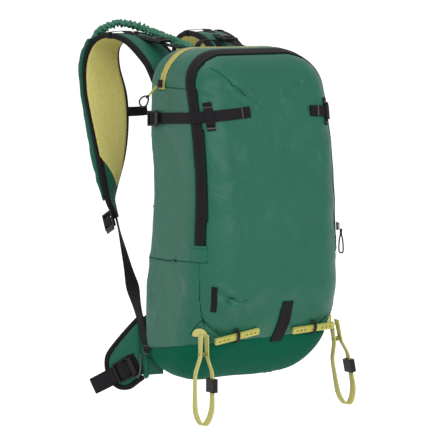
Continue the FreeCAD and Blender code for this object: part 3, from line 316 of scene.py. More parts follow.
class Finish(Enum):
    """Every finish on the bag."""

    # Coated ripstop nylon: faint threads and a soft even gloss. Its real 0.3 mm threads are drawn
    # at 1.6 mm so that they show.
    NYLON = Textile("coated_nylon_green", "#0C5A44", "#14664F", Weave.PLAIN, 1.6, 0.14, 0.46, 0.0, "#C9DED2", 0.3,
                    2.2)
    # The same cloth under the bag, heavier and duller, its green darkened as painted shade of the underside.
    BOOT_NYLON_PAINTED_SHADE = Textile("heavy_nylon_green", "#025A42", "#04644A", Weave.PLAIN, 1.9, 0.15, 0.7, 0.0, "#BFDDCF", 0.06,
                         1.6)
    # Brushed tricot lining of the straps: matt, with small knitted holes.
    LINING = Textile("spacer_mesh_yellow", "#D6CD79", "#DFD683", Weave.MESH, 2.4, 0.3, 0.9, 0.1, "#F4F2C8", 0.15)
    BACK_MESH = Textile("spacer_mesh_black", "#1C1B1D", "#262527", Weave.MESH, 3.2, 0.5, 0.85, 0.1, "#8C8C90", 0.15)
    # Grosgrain binding: ribs across the tape catch the light as fine dashes.
    BINDING = Textile("grosgrain_black", "#161415", "#1E1C1D", Weave.GROSGRAIN, 1.5, 0.4, 0.8, 0.0, "#A0A0A4", 0.1)
    # Nylon webbing: ribs along its length, real ones 0.9 mm apart and drawn at 1.9 mm.
    WEBBING = Textile("webbing_black", "#18161A", "#211F22", Weave.RIBBED, 1.9, 0.5, 0.75, 0.0, "#A8A8AC", 0.1)
    LOOP_WEBBING = Textile("webbing_yellow", "#D0CA7C", "#DAD486", Weave.RIBBED, 1.9, 0.45, 0.8, 0.1, "#F4F2C8", 0.15)
    # Bar tacks: close satin stitches across the webbing.
    LOOP_TACK = Textile("bar_tack_yellow", "#A19C45", "#AFAA50", Weave.GROSGRAIN, 0.9, 0.6, 0.8, 0.1, "#FFFFFF", 0.15)
    TACK = Textile("bar_tack_grey", "#515253", "#5E5F60", Weave.GROSGRAIN, 0.9, 0.6, 0.8, 0.05, "#FFFFFF", 0.15)
    # Thin nylon gathered on elastic: dark between the pleats, pale on their crests.
    RUCHED = Textile("gathered_nylon_green", "#0C5D46", "#1A7557", Weave.RUCHED, 1.4, 0.2, 0.5, 0.1, "#C9DED2", 0.5)
    STRAP_SHELL = Textile("brushed_nylon_green", "#06553F", "#0D614A", Weave.PLAIN, 1.7, 0.2, 0.62, 0.06, "#C9DED2",
                          0.25)
    # Seam lines: the nylon's green darkened as painted shade of the seams' creases.
    SEAM_PAINTED_SHADE = Textile("seam_painted_shade_green", "#064A37", "#0A543F", Weave.GROSGRAIN, 0.8, 0.4, 0.8, 0.0, "#FFFFFF", 0.15)
    ZIP_BLACK = Zipper("coated_zip_black", "#151314", "#0D0C0D", 4.0, 2.2, 0.6)
    ZIP_YELLOW = Zipper("coil_zip_yellow", "#BDB467", "#CBC173", 6.0, 1.8, 0.7)
    # Acetal from a spark-eroded mould: satin black with a fine grain.
    ACETAL = Solid("acetal_black", "#0F0E10", 0.45, 0.8, specular=0.2)
    TOGGLE = Solid("nylon_moulding_yellow", "#BDB85E", 0.5, 0.9)
    # Zinc casting under black enamel.
    SLIDER = Solid("zinc_casting_black", "#2E2E30", 0.4, 0.6, 0.1, 0.7)
    FOAM = Solid("moulded_foam_grey", "#3B3B3D", 0.85, 1.6, 0.4)
    SHEET = Solid("hdpe_sheet_black", "#2C2C2E", 0.5, 1.2)
    STAY = Solid("aluminium_bar", "#B9BCC0", 0.35, 0.5, 0.1, 1.0, 0.02)
    # Braided accessory cord: real 0.5 mm plaits drawn at 1.2 mm.
    CORD_GREY = Textile("braided_cord_grey", "#5A554E", "#6B665E", Weave.GROSGRAIN, 1.2, 0.5, 0.8, 0.05, "#FFFFFF", 0.2)
    CORD_YELLOW = Textile("braided_cord_yellow", "#B5AF55", "#C4BE64", Weave.GROSGRAIN, 1.2, 0.5, 0.8, 0.05, "#FFFFFF",
                          0.2)
    CORD_BLACK = Textile("braided_cord_black", "#1B1A1B", "#262526", Weave.GROSGRAIN, 1.2, 0.5, 0.7, 0.05, "#FFFFFF",
                         0.2)


class Workbench:
    """Turns working meshes into finished pieces and keeps the materials."""

    def __init__(self) -> None:
        """Start with no materials made."""
        self.made: dict[Finish, Material] = {}

    def material(self, finish: Finish) -> Material:
        """The node material of a finish, made once."""
        if finish not in self.made:
            self.made[finish] = finish.value.build()
        return self.made[finish]

    def piece(self, bm: BMesh, name: str, finish: Finish, nodes: Sequence[str] = (), body: str = "bag",
              closed: bool = True) -> Object:
        """Finish a working mesh as a piece of the bag.

        Args:
            bm: Mesh in working millimetres; it is freed.
            name: Name of the piece.
            finish: Its finish.
            nodes: CAD nodes it stands for.
            body: CAD body it rides on.
            closed: Whether its normals can be worked out from a closed skin.

        Returns:
            The piece, at the origin.
        """
        if closed:
            bmesh.ops.recalc_face_normals(bm, faces=bm.faces)
        for face in bm.faces:
            face.smooth = True
        bm.transform(TO_ROW)
        mesh = bpy.data.meshes.new(name)
        bm.to_mesh(mesh)
        bm.free()
        obj = bpy.data.objects.new(name, mesh)
        bpy.context.scene.collection.objects.link(obj)
        mesh.materials.append(self.material(finish))
        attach(obj, body)
        if nodes:
            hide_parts(*nodes)
        log.info("%s on %s, %d faces", name, body, len(mesh.polygons))
        return obj

    def lofted(self, rings: Sequence[Sequence[Vector]], name: str, finish: Finish, nodes: Sequence[str] = (),
               body: str = "bag", closed_path: bool = False) -> Object:
        """A piece skinned over rings; closed_path joins the last ring to the first."""
        bm = bmesh.new()
        loft(bm, rings, closed_path=closed_path)
        return self.piece(bm, name, finish, nodes, body)

    def webbing(self, points: Sequence[Vector], across: Vector | Sequence[Vector], width: float, name: str,
                finish: Finish, nodes: Sequence[str] = (), body: str = "bag", thick: float = WEB) -> Object:
        """A piece of flat webbing along a path."""
        bm = bmesh.new()
        strip(bm, points, across, width, thick)
        return self.piece(bm, name, finish, nodes, body)

    def corded(self, points: Sequence[Vector], radius: float, name: str, finish: Finish, nodes: Sequence[str] = (),
               body: str = "bag", closed_path: bool = False) -> Object:
        """A piece of round cord along a path."""
        bm = bmesh.new()
        tube(bm, points, radius, closed_path=closed_path)
        return self.piece(bm, name, finish, nodes, body)


BENCH = Workbench()


# ---------------------------------------------------------------------------------------------
# Shapes from bmesh operators
# ---------------------------------------------------------------------------------------------
def loft(bm: BMesh, rings: Sequence[Sequence[Vector]], caps: bool = True,
         closed_path: bool = False) -> list[list[BMVert]]:
    """Skin a row of rings by extruding the first ring to each of the others in turn.

    Args:
        bm: Mesh that receives the skin.
        rings: Rings with the same number of points, in working millimetres.
        caps: Whether the two ends are closed with a face.
        closed_path: Whether the last ring joins the first.

    Returns:
        The vertices, ring by ring.
    """
    count = len(rings[0])
    uv = bm.loops.layers.uv.get("cloth") or bm.loops.layers.uv.new("cloth")
    first = bmesh.ops.create_circle(bm, segments=count, radius=1.0, cap_ends=False)["verts"]
    rows = [list(first)]
    for vert, point in zip(first, rings[0]):
        vert.co = point
    where = {vert: (0, i) for i, vert in enumerate(first)}
    sides: list[BMFace] = []
    for number, ring in enumerate(rings[1:], start=1):
        row = rows[-1]
        edges = [bm.edges.get((row[i], row[(i + 1) % count])) for i in range(count)]
        made = bmesh.ops.extrude_edge_only(bm, edges=edges)["geom"]
        fresh = {item for item in made if isinstance(item, BMVert)}
        sides += [item for item in made if isinstance(item, BMFace)]
        step = [next(e.other_vert(v) for e in v.link_edges if e.other_vert(v) in fresh) for v in row]
        for i, (vert, point) in enumerate(zip(step, ring)):
            vert.co = point
            where[vert] = (number, i)
        rows.append(step)
    middle = rings[len(rings) // 2]
    around = [0.0]
    for i in range(count):
        around.append(around[-1] + (middle[(i + 1) % count] - middle[i]).length * MM)
    centres = [sum(ring, V((0, 0, 0))) / count for ring in rings]
    along = [0.0]
    for a, b in zip(centres, centres[1:]):
        along.append(along[-1] + (b - a).length * MM)
    for face in sides:
        wraps = {where[loop.vert][1] for loop in face.loops} == {0, count - 1}
        for loop in face.loops:
            r, c = where[loop.vert]
            loop[uv].uv = (around[count if wraps and c == 0 else c], along[r])
    if closed_path:
        bmesh.ops.bridge_loops(bm, edges=[bm.edges.get((row[i], row[(i + 1) % count]))
                                          for row in (rows[-1], rows[0]) for i in range(count)])
    elif caps:
        for row in (rows[0], rows[-1]):
            bmesh.ops.contextual_create(bm, geom=row)
    return rows


def smooth_path(points: Sequence[Vector], steps: int) -> list[Vector]:
    """Points on a smooth curve through the given ones.

    Args:
        points: Points the curve passes.
        steps: Points per span.

    Returns:
        The denser row of points.
    """
    result = []
    last = len(points) - 1
    for i in range(last):
        p0, p1 = points[max(i - 1, 0)], points[i]
        p2, p3 = points[i + 1], points[min(i + 2, last)]
        for k in range(steps):
            t = k / steps
            result.append(0.5 * (2 * p1 + (p2 - p0) * t + (2 * p0 - 5 * p1 + 4 * p2 - p3) * t * t
                                 + (3 * p1 - p0 - 3 * p2 + p3) * t ** 3))
    result.append(points[last].copy())
    return result


def points_of(node: str) -> list[Vector]:
    """Vertices of a CAD node, in working millimetres."""
    return [FROM_ROW @ v.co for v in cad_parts[node].data.vertices]


def box_of(node: str) -> tuple[Vector, Vector]:
    """Lowest and highest corner of a CAD node, in working millimetres."""
    low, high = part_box(node)
    return FROM_ROW @ low, FROM_ROW @ high


@dataclass
class Station:
    """A place along a strip: its centre, the direction across it, and the way off its face."""

    centre: Vector
    across: Vector
    off: Vector

    def ring(self, profile: Iterable[tuple[float, float]]) -> list[Vector]:
        """Place a cross-section given as (across, off) pairs."""
        return [self.centre + self.across * a + self.off * b for a, b in profile]


def stations(points: Sequence[Vector], across: Sequence[Vector]) -> list[Station]:
    """Stations along a centre line from the direction across it at each point.

    Args:
        points: Centre line.
        across: Direction across the strip at each point.

    Returns:
        One station for each point.
    """
    result = []
    last = len(points) - 1
    for i, (point, side) in enumerate(zip(points, across)):
        ahead = (points[min(i + 1, last)] - points[max(i - 1, 0)]).normalized()
        flat = (side - ahead * side.dot(ahead)).normalized()
        result.append(Station(point, flat, ahead.cross(flat)))
    return result


def web_profile(width: float, thick: float) -> list[tuple[float, float]]:
    """Cross-section of webbing: flat, with rounded selvedges and a faintly thicker middle."""
    w, t = width / 2, thick / 2
    half = [(-w, 0.0), (-w + t * 0.5, t * 0.85), (-w * 0.5, t), (0.0, t * 1.08), (w * 0.5, t), (w - t * 0.5, t * 0.85)]
    return half + [(-a, -b) for a, b in half]


def oval_profile(width: float, thick: float, count: int = 16, power: float = 0.75) -> list[tuple[float, float]]:
    """Cross-section of a stuffed strip: a flattened oval whose power sets how full it is."""
    result = []
    for i in range(count):
        angle = math.pi - 2 * math.pi * i / count
        s = math.sin(angle)
        result.append((math.cos(angle) * width / 2, math.copysign(abs(s) ** power, s) * thick / 2))
    return result


def tube(bm: BMesh, points: Sequence[Vector], radius: float, count: int = 10,
         closed_path: bool = False) -> None:
    """Round cord along a row of points."""
    axis = (points[-1] - points[0]).normalized() if not closed_path else V((0.31, 0.22, 0.93))
    guide = axis.orthogonal()
    places = stations(points, [guide] * len(points))
    profile = [(radius * math.cos(2 * math.pi * i / count), radius * math.sin(2 * math.pi * i / count))
               for i in range(count)]
    loft(bm, [place.ring(profile) for place in places], caps=not closed_path, closed_path=closed_path)


def strip(bm: BMesh, points: Sequence[Vector], across: Vector | Sequence[Vector], width: float,
          thick: float) -> None:
    """Flat webbing along a row of points, with one direction across it or one for each point."""
    ways = [across] * len(points) if isinstance(across, Vector) else across
    loft(bm, [place.ring(web_profile(width, thick)) for place in stations(points, ways)])


def puff(obj: Object, voxel_mm: float, cap_mm: float, pressure: float = 4.0) -> None:
    """Blow a padded piece up a little as cloth, so that it crowns between its edges.

    Args:
        obj: Closed piece; its mesh is replaced.
        voxel_mm: Size of the new mesh.
        cap_mm: The furthest that a point may move.
        pressure: Air pressure inside.
    """
    scene = bpy.context.scene
    remesh = obj.modifiers.new("even_mesh", "REMESH")
    remesh.mode = "VOXEL"
    remesh.voxel_size = voxel_mm * MM
    swap_mesh(obj)
    before = [v.co.copy() for v in obj.data.vertices]
    cloth = obj.modifiers.new("air", "CLOTH")
    cloth.settings.quality = 5
    cloth.settings.use_pressure = True
    cloth.settings.uniform_pressure_force = pressure
    cloth.settings.effector_weights.gravity = 0
    cloth.point_cache.frame_start = 1
    cloth.point_cache.frame_end = PUFF_FRAMES
    for number in range(1, PUFF_FRAMES + 1):
        scene.frame_set(number)
    swap_mesh(obj)
    scene.frame_set(1)
    for vert, old in zip(obj.data.vertices, before):
        move = vert.co - old
        if move.length > cap_mm * MM:
            vert.co = old + move.normalized() * cap_mm * MM
    rounder = obj.modifiers.new("rounder", "SUBSURF")
    rounder.levels = rounder.render_levels = 1


def swap_mesh(obj: Object) -> None:
    """Replace a piece's mesh by what its modifiers make of it, and drop them."""
    graph = bpy.context.evaluated_depsgraph_get()
    graph.update()
    fresh = bpy.data.meshes.new_from_object(obj.evaluated_get(graph), depsgraph=graph)
    materials = list(obj.data.materials)
    obj.modifiers.clear()
    obj.data = fresh
    fresh.materials.clear()
    for material in materials:
        fresh.materials.append(material)
    for polygon in fresh.polygons:
        polygon.use_smooth = True


# ---------------------------------------------------------------------------------------------
# The bag
# ---------------------------------------------------------------------------------------------
@dataclass(frozen=True)
class Fold:
    """A crease or sewn line pressed into the cloth between two points."""

    start: tuple[float, float, float]
    end: tuple[float, float, float]
    width: float
    depth: float

    def height(self, point: Vector) -> float:
        """How far the cloth stands off at a point: a valley with a low roll on each side."""
        a, b = V(self.start), V(self.end)
        run = b - a
        share = (point - a).dot(run) / run.length_squared
        past = max(0.0, -share, share - 1) * run.length
        q = (point - a - run * min(1.0, max(0.0, share))).length / self.width
        if q > 4:
            return 0.0
        fade = math.exp(-(past / (self.width * 1.5)) ** 2)
        return self.depth * fade * (0.5 * math.exp(-(q - 1.9) ** 2) - math.exp(-q * q))


@dataclass(frozen=True)
class BagForm:
    """The bag's outer surface: one rounded outline at each level."""

    height: float = 497.0
    half_width: float = 134.0
    side_taper: float = 14.0
    taper_start: float = 160.0
    back_y: float = 86.0
    front_depth: float = 96.0
    front_lean: float = 50.0
    lean_start: float = 190.0
    crown_side: float = 58.0
    crown_front: float = 50.0
    crown_back: float = 25.0
    boot_side_reach: float = 60.0
    boot_side_rise: float = 70.0
    boot_back: float = 30.0
    boot_front_rise: float = 150.0
    boot_flat_y: float = 10.0
    boot_curve: float = 1.6
    front_corner: float = 60.0
    front_corner_top: float = 42.0
    back_corner: float = 32.0
    back_swell: float = 24.0
    columns: tuple[int, ...] = (20, 18, 42, 26, 84, 26, 42, 18, 20)

    @staticmethod
    def quarter(step: float, reach: float) -> float:
        """Share of a quarter circle's reach that is left at a step along it."""
        return math.sqrt(max(0.0, 1.0 - min(1.0, step / reach) ** 2))

    def section(self, z: float) -> tuple[float, float, float, float, float]:
        """Half width, front, back, front corner radius and back corner radius at a level."""
        h = self.height
        side = self.half_width - self.side_taper * max(0.0, z - self.taper_start) / (h - self.taper_start)
        half = side
        if z > h - self.crown_side:
            half = side - self.crown_side * (1 - self.quarter(z - h + self.crown_side, self.crown_side))
        elif z < self.boot_side_rise:
            half = side - self.boot_side_reach * (1 - self.quarter(self.boot_side_rise - z, self.boot_side_rise))
        front = -self.front_depth
        if z > self.lean_start:
            front += self.front_lean * ((z - self.lean_start) / (h - self.lean_start)) ** 2
        if z > h - self.crown_front:
            front += self.crown_front * (1 - self.quarter(z - h + self.crown_front, self.crown_front))
        if z < self.boot_front_rise:
            drop = min(1.0, 1 - z / self.boot_front_rise)
            front = self.boot_flat_y - (self.front_depth + self.boot_flat_y) * (
                1 - drop ** self.boot_curve) ** (1 / self.boot_curve)
        back = self.back_y
        if z > h - self.crown_back:
            back -= self.crown_back * (1 - self.quarter(z - h + self.crown_back, self.crown_back))
        if z < self.boot_back:
            back -= self.boot_back * (1 - self.quarter(self.boot_back - z, self.boot_back))
        depth = back - front
        share = min(1.0, max(0.0, (z - 200) / 200))
        corner = self.front_corner + (self.front_corner_top - self.front_corner) * share
        swell = math.sin(math.pi * min(1.0, max(0.0, (z - 90) / 340))) ** 2
        most = 0.36 * depth
        return half, front, back, min(corner, most), min(self.back_corner + self.back_swell * swell, most)

    def side_x(self, y: float, z: float) -> float:
        """Half width of the bag at a depth and level."""
        half, front, back, near, far = self.section(z)
        if y < front + near:
            return half - near + math.sqrt(max(0.0, near ** 2 - (front + near - y) ** 2))
        if y > back - far:
            return half - far + math.sqrt(max(0.0, far ** 2 - (y - back + far) ** 2))
        return half

    def front_y(self, x: float, z: float) -> float:
        """Front of the bag at a width and level."""
        half, front, _, near, _ = self.section(z)
        past = abs(x) - (half - near)
        return front if past <= 0 else front + near - math.sqrt(max(0.0, near ** 2 - past ** 2))

    def on_front(self, x: float, z: float, lift: float = 0.0) -> tuple[Vector, Vector]:
        """Point on the front, lifted off it, and the way outwards there."""
        slope_x = (self.front_y(x + 1, z) - self.front_y(x - 1, z)) / 2
        slope_z = (self.front_y(x, z + 1) - self.front_y(x, z - 1)) / 2
        out = V((slope_x, -1, slope_z)).normalized()
        return V((x, self.front_y(x, z), z)) + out * lift, out

    def on_side(self, side: Side, y: float, z: float, lift: float = 0.0) -> tuple[Vector, Vector]:
        """Point on a side, lifted off it, and the way outwards there."""
        slope_y = (self.side_x(y + 1, z) - self.side_x(y - 1, z)) / 2
        slope_z = (self.side_x(y, z + 1) - self.side_x(y, z - 1)) / 2
        out = V((side.value, -slope_y, -slope_z)).normalized()
        return V((side.value * self.side_x(y, z), y, z)) + out * lift, out

    def outline(self, z: float, shrink: float = 1.0) -> list[Vector]:
        """Outline at a level, from the middle of the back round by the left side and the front."""
        half, front, back, near, far = self.section(z)
        half, mid = half * shrink, (front + back) / 2
        front, back = mid + (front - mid) * shrink, mid + (back - mid) * shrink
        near, far = near * shrink, far * shrink
        n = self.columns
        points: list[Vector] = []

        def line(x0: float, y0: float, x1: float, y1: float, count: int) -> None:
            """Even points along a straight side, without its end."""
            points.extend(V((x0 + (x1 - x0) * i / count, y0 + (y1 - y0) * i / count, z)) for i in range(count))

        def arc(cx: float, cy: float, radius: float, start: float, count: int) -> None:
            """Even points round a corner, without its end."""
            for i in range(count):
                turn = math.radians(start + 90 * i / count)
                points.append(V((cx + radius * math.cos(turn), cy + radius * math.sin(turn), z)))

        line(0, back, -half + far, back, n[0])
        arc(-half + far, back - far, far, 90, n[1])
        line(-half, back - far, -half, front + near, n[2])
        arc(-half + near, front + near, near, 180, n[3])
        line(-half + near, front, half - near, front, n[4])
        arc(half - near, front + near, near, 270, n[5])
        line(half, front + near, half, back - far, n[6])
        arc(half - far, back - far, far, 0, n[7])
        line(half - far, back, 0, back, n[8])
        return points

    def levels(self, cuts: Sequence[float]) -> list[float]:
        """Levels of the rings, closer together where the bag turns, with the seams among them."""
        rise, top = self.boot_side_rise, self.height - self.crown_front
        rows = [rise * (1 - math.sin(math.radians(a))) for a in range(90, 0, -4)]
        steps = 132
        rows += [rise + (top - rise) * i / steps for i in range(steps)]
        rows += [top + self.crown_front * math.sin(math.radians(a)) for a in range(0, 91, 4)]
        kept = [z for z in rows if all(abs(z - cut) > 1.2 for cut in cuts)]
        return sorted(kept + list(cuts))


@dataclass
class Bag:
    """The sewn bag: panels cut along their seams, two zips, and what is sewn flat on it."""

    form: BagForm = field(default_factory=BagForm)
    wall: float = 2.2
    zip_width: float = 15.0
    zip_low: float = 213.0
    zip_low_y: float = -66.0
    zip_bend: float = 257.0
    zip_top_y: float = -14.0
    top_zip_y: float = 36.0
    top_zip_width: float = 14.0
    top_zip_low: float = 436.0
    back_seam_y: float = 66.0
    crown_seam: float = 440.0
    boot_back: float = 42.0
    boot_rise: float = 32.0
    web: float = WEB
    climb: float = 0.06
    # How far the relief may stand out, and how far the whole skin sinks under it.
    relief_limit: float = 2.6
    relief_sink: float = 0.9
    folds: tuple[Fold, ...] = (
        Fold((-97, -24, 478), (-60, -61, 446), 3.4, 1.2), Fold((-60, -61, 446), (-17, -68, 418), 3.4, 1.5),
        Fold((97, -24, 478), (60, -61, 446), 3.4, 1.2), Fold((60, -61, 446), (30, -66, 430), 3.4, 1.2),
        Fold((-56, -63, 438), (-36, -65, 430), 3.0, 2.0), Fold((-66, -60, 432), (-30, -68, 412), 6.0, 1.5),
        Fold((-109, -84, 147), (-84, -92, 134), 5.0, 2.6), Fold((-90, -92, 134), (-55, -94, 135), 4.5, 2.2),
        Fold((-84, -93, 128), (-62, -93, 108), 8.0, 1.4), Fold((-104, -80, 112), (-76, -88, 104), 9.0, 1.5),
        Fold((-133, 66, 184), (-133, -16, 188), 3.0, 1.7), Fold((-133, -16, 188), (-117, -77, 190), 3.0, 1.7),
        Fold((133, 66, 184), (133, -16, 188), 3.0, 1.7), Fold((133, -16, 188), (117, -77, 190), 3.0, 1.7),
        Fold((-117, -45, 434), (-98, -62, 426), 5.0, 1.5), Fold((-28, -70, 411), (18, -71, 421), 9.0, 1.6),
        Fold((28, -70, 411), (-6, -71, 400), 9.0, 1.0), Fold((-112, -58, 385), (-70, -76, 340), 12.0, 1.4),
        Fold((112, -58, 385), (70, -76, 340), 12.0, 1.6), Fold((-125, 40, 380), (-128, -10, 330), 14.0, 1.8),
        Fold((125, 40, 380), (128, -10, 330), 14.0, 1.8), Fold((-118, -77, 250), (-30, -95, 262), 16.0, 1.0),
        Fold((118, -77, 240), (20, -95, 228), 16.0, 1.4), Fold((-131, -30, 150), (-131, 45, 128), 13.0, 2.0),
        Fold((131, -30, 150), (131, 45, 128), 13.0, 2.0), Fold((-90, -72, 84), (-20, -93, 128), 14.0, 1.8),
        Fold((90, -72, 84), (34, -93, 128), 14.0, 1.8), Fold((-60, -88, 108), (60, -88, 112), 12.0, 1.2),
        Fold((-127, -52, 104), (-119, -66, 80), 6.0, 1.4), Fold((-119, -66, 104), (-92, -74, 82), 4.0, 1.6),
        Fold((119, -66, 104), (92, -74, 82), 4.0, 1.6), Fold((100, 86, 300), (-100, 86, 310), 20.0, 0.8),
        Fold((-20, -95, 205), (50, -95, 190), 22.0, 1.0), Fold((60, -90, 320), (110, -70, 290), 12.0, 1.3),
    )

    def zip_line(self, z: float) -> float:
        """Depth of the front zip at a level."""
        turn = min(1.0, max(0.0, (z - self.zip_bend) / (self.form.height - self.zip_bend)))
        return self.zip_low_y + (self.zip_top_y - self.zip_low_y) * turn ** 2

    def zip_stretch(self, z: float) -> float:
        """How much longer the slanting front zip is than its rise at a level."""
        return math.hypot(1, (self.zip_line(z + 1) - self.zip_line(z - 1)) / 2)

    def boot_level(self, y: float) -> float:
        """Level of the boot seam at a depth."""
        reach = self.form.back_y + self.form.front_depth
        return self.boot_back + self.boot_rise * (self.form.back_y - y) / reach

    def relief(self, point: Vector) -> float:
        """How far the cloth stands off the plain form at a point."""
        x, y, z = point
        soft = noise.noise(point / 85.0) * 1.6 + noise.noise(V((x / 46, y / 46, z / 24))) * 0.7
        soft += noise.noise(V((x / 17, y / 17, z / 11)) + V((5, 9, 2))) * 0.3
        calm = 1.0 - 0.7 * math.exp(-((z - 398) / 15) ** 2)
        if z > self.zip_low - 30:
            calm *= 1.0 - 0.8 * math.exp(-((y - self.zip_line(z)) / 14) ** 2)
        if y > 60 and 30 < z < 440 and abs(x) < 105:
            calm = 0.15
        front = min(1.0, max(0.0, (-70 - y) / 15)) * min(1.0, max(0.0, (z - 120) / 40), max(0.0, (380 - z) / 40))
        crown = 1.7 * front * max(0.0, 1 - (abs(x) / 112) ** 2)
        creases = 1.35 * sum(fold.height(point) for fold in self.folds)
        return min(self.relief_limit, calm * (soft + creases) + crown - self.relief_sink)

    def skin(self) -> BMesh:
        """The whole closed skin with its relief, cut along every seam."""
        bm = bmesh.new()
        levels = self.form.levels([self.zip_low, self.top_zip_low, self.crown_seam])
        rings = [self.form.outline(levels[0], s) for s in (0.25, 0.5, 0.75, 0.92)]
        rings += [self.form.outline(z) for z in levels]
        rings += [self.form.outline(levels[-1], s) for s in (0.93, 0.8, 0.6, 0.4, 0.2)]
        loft(bm, rings)
        self.cut_seams(bm, levels)
        bmesh.ops.recalc_face_normals(bm, faces=bm.faces)
        bm.normal_update()
        moves = [(vert, vert.normal * self.relief(vert.co)) for vert in bm.verts]
        for vert, move in moves:
            vert.co += move
        bm.normal_update()
        return bm

    def cut_seams(self, bm: BMesh, levels: Sequence[float]) -> None:
        """Cut the skin along the seams, ring by ring where a seam curves."""
        rows: dict[int, list[BMFace]] = {}
        for face in bm.faces:
            z = face.calc_center_median().z
            row = sum(1 for level in levels if level < z)
            rows.setdefault(row, []).append(face)
        for row, faces in rows.items():
            low, high = levels[max(row - 1, 0)], levels[min(row, len(levels) - 1)]
            if low == high:
                low, high = high - 0.5, high
            cuts: list[tuple[Vector, Vector]] = []
            if low >= self.zip_low - 0.01:
                for sign in (-1, 1):
                    ends = [V((0, self.zip_line(z) + sign * self.zip_width / 2 * self.zip_stretch(z), z))
                            for z in (low, high)]
                    run = ends[1] - ends[0]
                    cuts.append((ends[0], V((0, run.z, -run.y)).normalized()))
            else:
                cuts.append((V((0, self.zip_low_y, 0)), OUT_BACK))
            if low >= self.top_zip_low - 0.01:
                cuts += [(V((0, self.top_zip_y + sign * self.top_zip_width / 2, 0)), OUT_BACK) for sign in (-1, 1)]
            if high <= self.crown_seam + 0.01:
                cuts.append((V((0, self.back_seam_y, 0)), OUT_BACK))
            for place, normal in cuts:
                self.slice(bm, faces, place, normal)
        run = V((0, self.form.back_y + self.form.front_depth, -self.boot_rise))
        self.slice(bm, list(bm.faces), V((0, self.form.back_y, self.boot_back)), V((0, run.z, -run.y)).normalized())

    @staticmethod
    def slice(bm: BMesh, faces: list[BMFace], place: Vector, normal: Vector) -> None:
        """Cut some faces by a plane and add the new ones to the list."""
        live = [f for f in faces if f.is_valid]
        geom = set(live) | {e for f in live for e in f.edges} | {v for f in live for v in f.verts}
        made = bmesh.ops.bisect_plane(bm, geom=list(geom), dist=ON_PLANE, plane_co=place, plane_no=normal)
        faces[:] = [item for item in made["geom"] if isinstance(item, BMFace)]

    def panel_of(self, point: Vector) -> str:
        """Name of the CAD node that a point of the skin belongs to."""
        x, y, z = point
        if z < self.boot_level(y):
            return "bottom_boot"
        if z > self.zip_low:
            if abs(y - self.zip_line(z)) < self.zip_width / 2 * self.zip_stretch(z):
                return "front_zip_tape"
        if z > self.top_zip_low and abs(y - self.top_zip_y) < self.top_zip_width / 2:
            return "top_zip_tape"
        if y < (self.zip_line(z) if z > self.zip_low else self.zip_low_y):
            return "front_panel"
        if (z < self.crown_seam and y > self.back_seam_y) or (z >= self.crown_seam and y > self.top_zip_y):
            return "back_panel"
        if z < self.crown_seam:
            return "left_side_panel" if x < 0 else "right_side_panel"
        return "top_panel"

    def build(self) -> BMesh:
        """Make the panels and the zips, and return the skin for what is sewn on it."""
        skin = self.skin()
        groups: dict[str, set[int]] = {}
        skin.faces.ensure_lookup_table()
        for face in skin.faces:
            groups.setdefault(self.panel_of(face.calc_center_median()), set()).add(face.index)
        for node in ("front_panel", "left_side_panel", "right_side_panel", "top_panel", "back_panel", "bottom_boot"):
            bm = self.part_of(skin, groups[node])
            self.roll_edges(bm, 1.1)
            # The boot takes the copy of the nylon darkened as painted shade.
            finish = Finish.BOOT_NYLON_PAINTED_SHADE if node == "bottom_boot" else Finish.NYLON
            self.wall_of(BENCH.piece(bm, node + "_cloth", finish, [node], closed=False), self.wall)
        self.zip_tape(skin, groups["front_zip_tape"], "front_zip", Finish.ZIP_BLACK)
        self.zip_tape(skin, groups["top_zip_tape"], "top_zip", Finish.ZIP_YELLOW)
        return skin

    @staticmethod
    def part_of(skin: BMesh, kept: set[int]) -> BMesh:
        """Copy some of the skin's faces into a mesh of their own."""
        bm = skin.copy()
        bm.faces.ensure_lookup_table()
        bmesh.ops.delete(bm, geom=[f for f in bm.faces if f.index not in kept], context="FACES")
        return bm

    @staticmethod
    def roll_edges(bm: BMesh, deep: float) -> None:
        """Sink the edges of a panel, so that it rolls into its seams."""
        bm.normal_update()
        rim = {v for v in bm.verts if v.is_boundary}
        second = {e.other_vert(v) for v in rim for e in v.link_edges} - rim
        moves = [(v, v.normal * -deep) for v in rim] + [(v, v.normal * (-deep * 0.25)) for v in second]
        for vert, move in moves:
            vert.co += move

    @staticmethod
    def wall_of(obj: Object, thick: float) -> None:
        """Give an open skin its thickness, inwards."""
        solid = obj.modifiers.new("thickness", "SOLIDIFY")
        solid.thickness = thick * MM
        solid.offset = -1.0

    def zip_tape(self, skin: BMesh, kept: set[int], name: str, finish: Finish) -> None:
        """A zip: the skin's strip raised a little, with a map across and along the tape."""
        bm = self.part_of(skin, kept)
        bm.normal_update()
        uv = bm.loops.layers.uv.active
        for vert in bm.verts:
            vert.co += vert.normal * (0.2 if vert.is_boundary else 0.7)
        for face in bm.faces:
            for loop in face.loops:
                x, y, z = loop.vert.co
                if name == "front_zip":
                    off = (y - self.zip_line(z)) / self.zip_stretch(z)
                else:
                    off = y - self.top_zip_y
                along = z if z < self.form.height - self.form.crown_front else z + abs(abs(x) - 120)
                loop[uv].uv = (off * MM, along * MM)
        self.wall_of(BENCH.piece(bm, name, finish, [name + "_tape"], closed=False), 1.2)

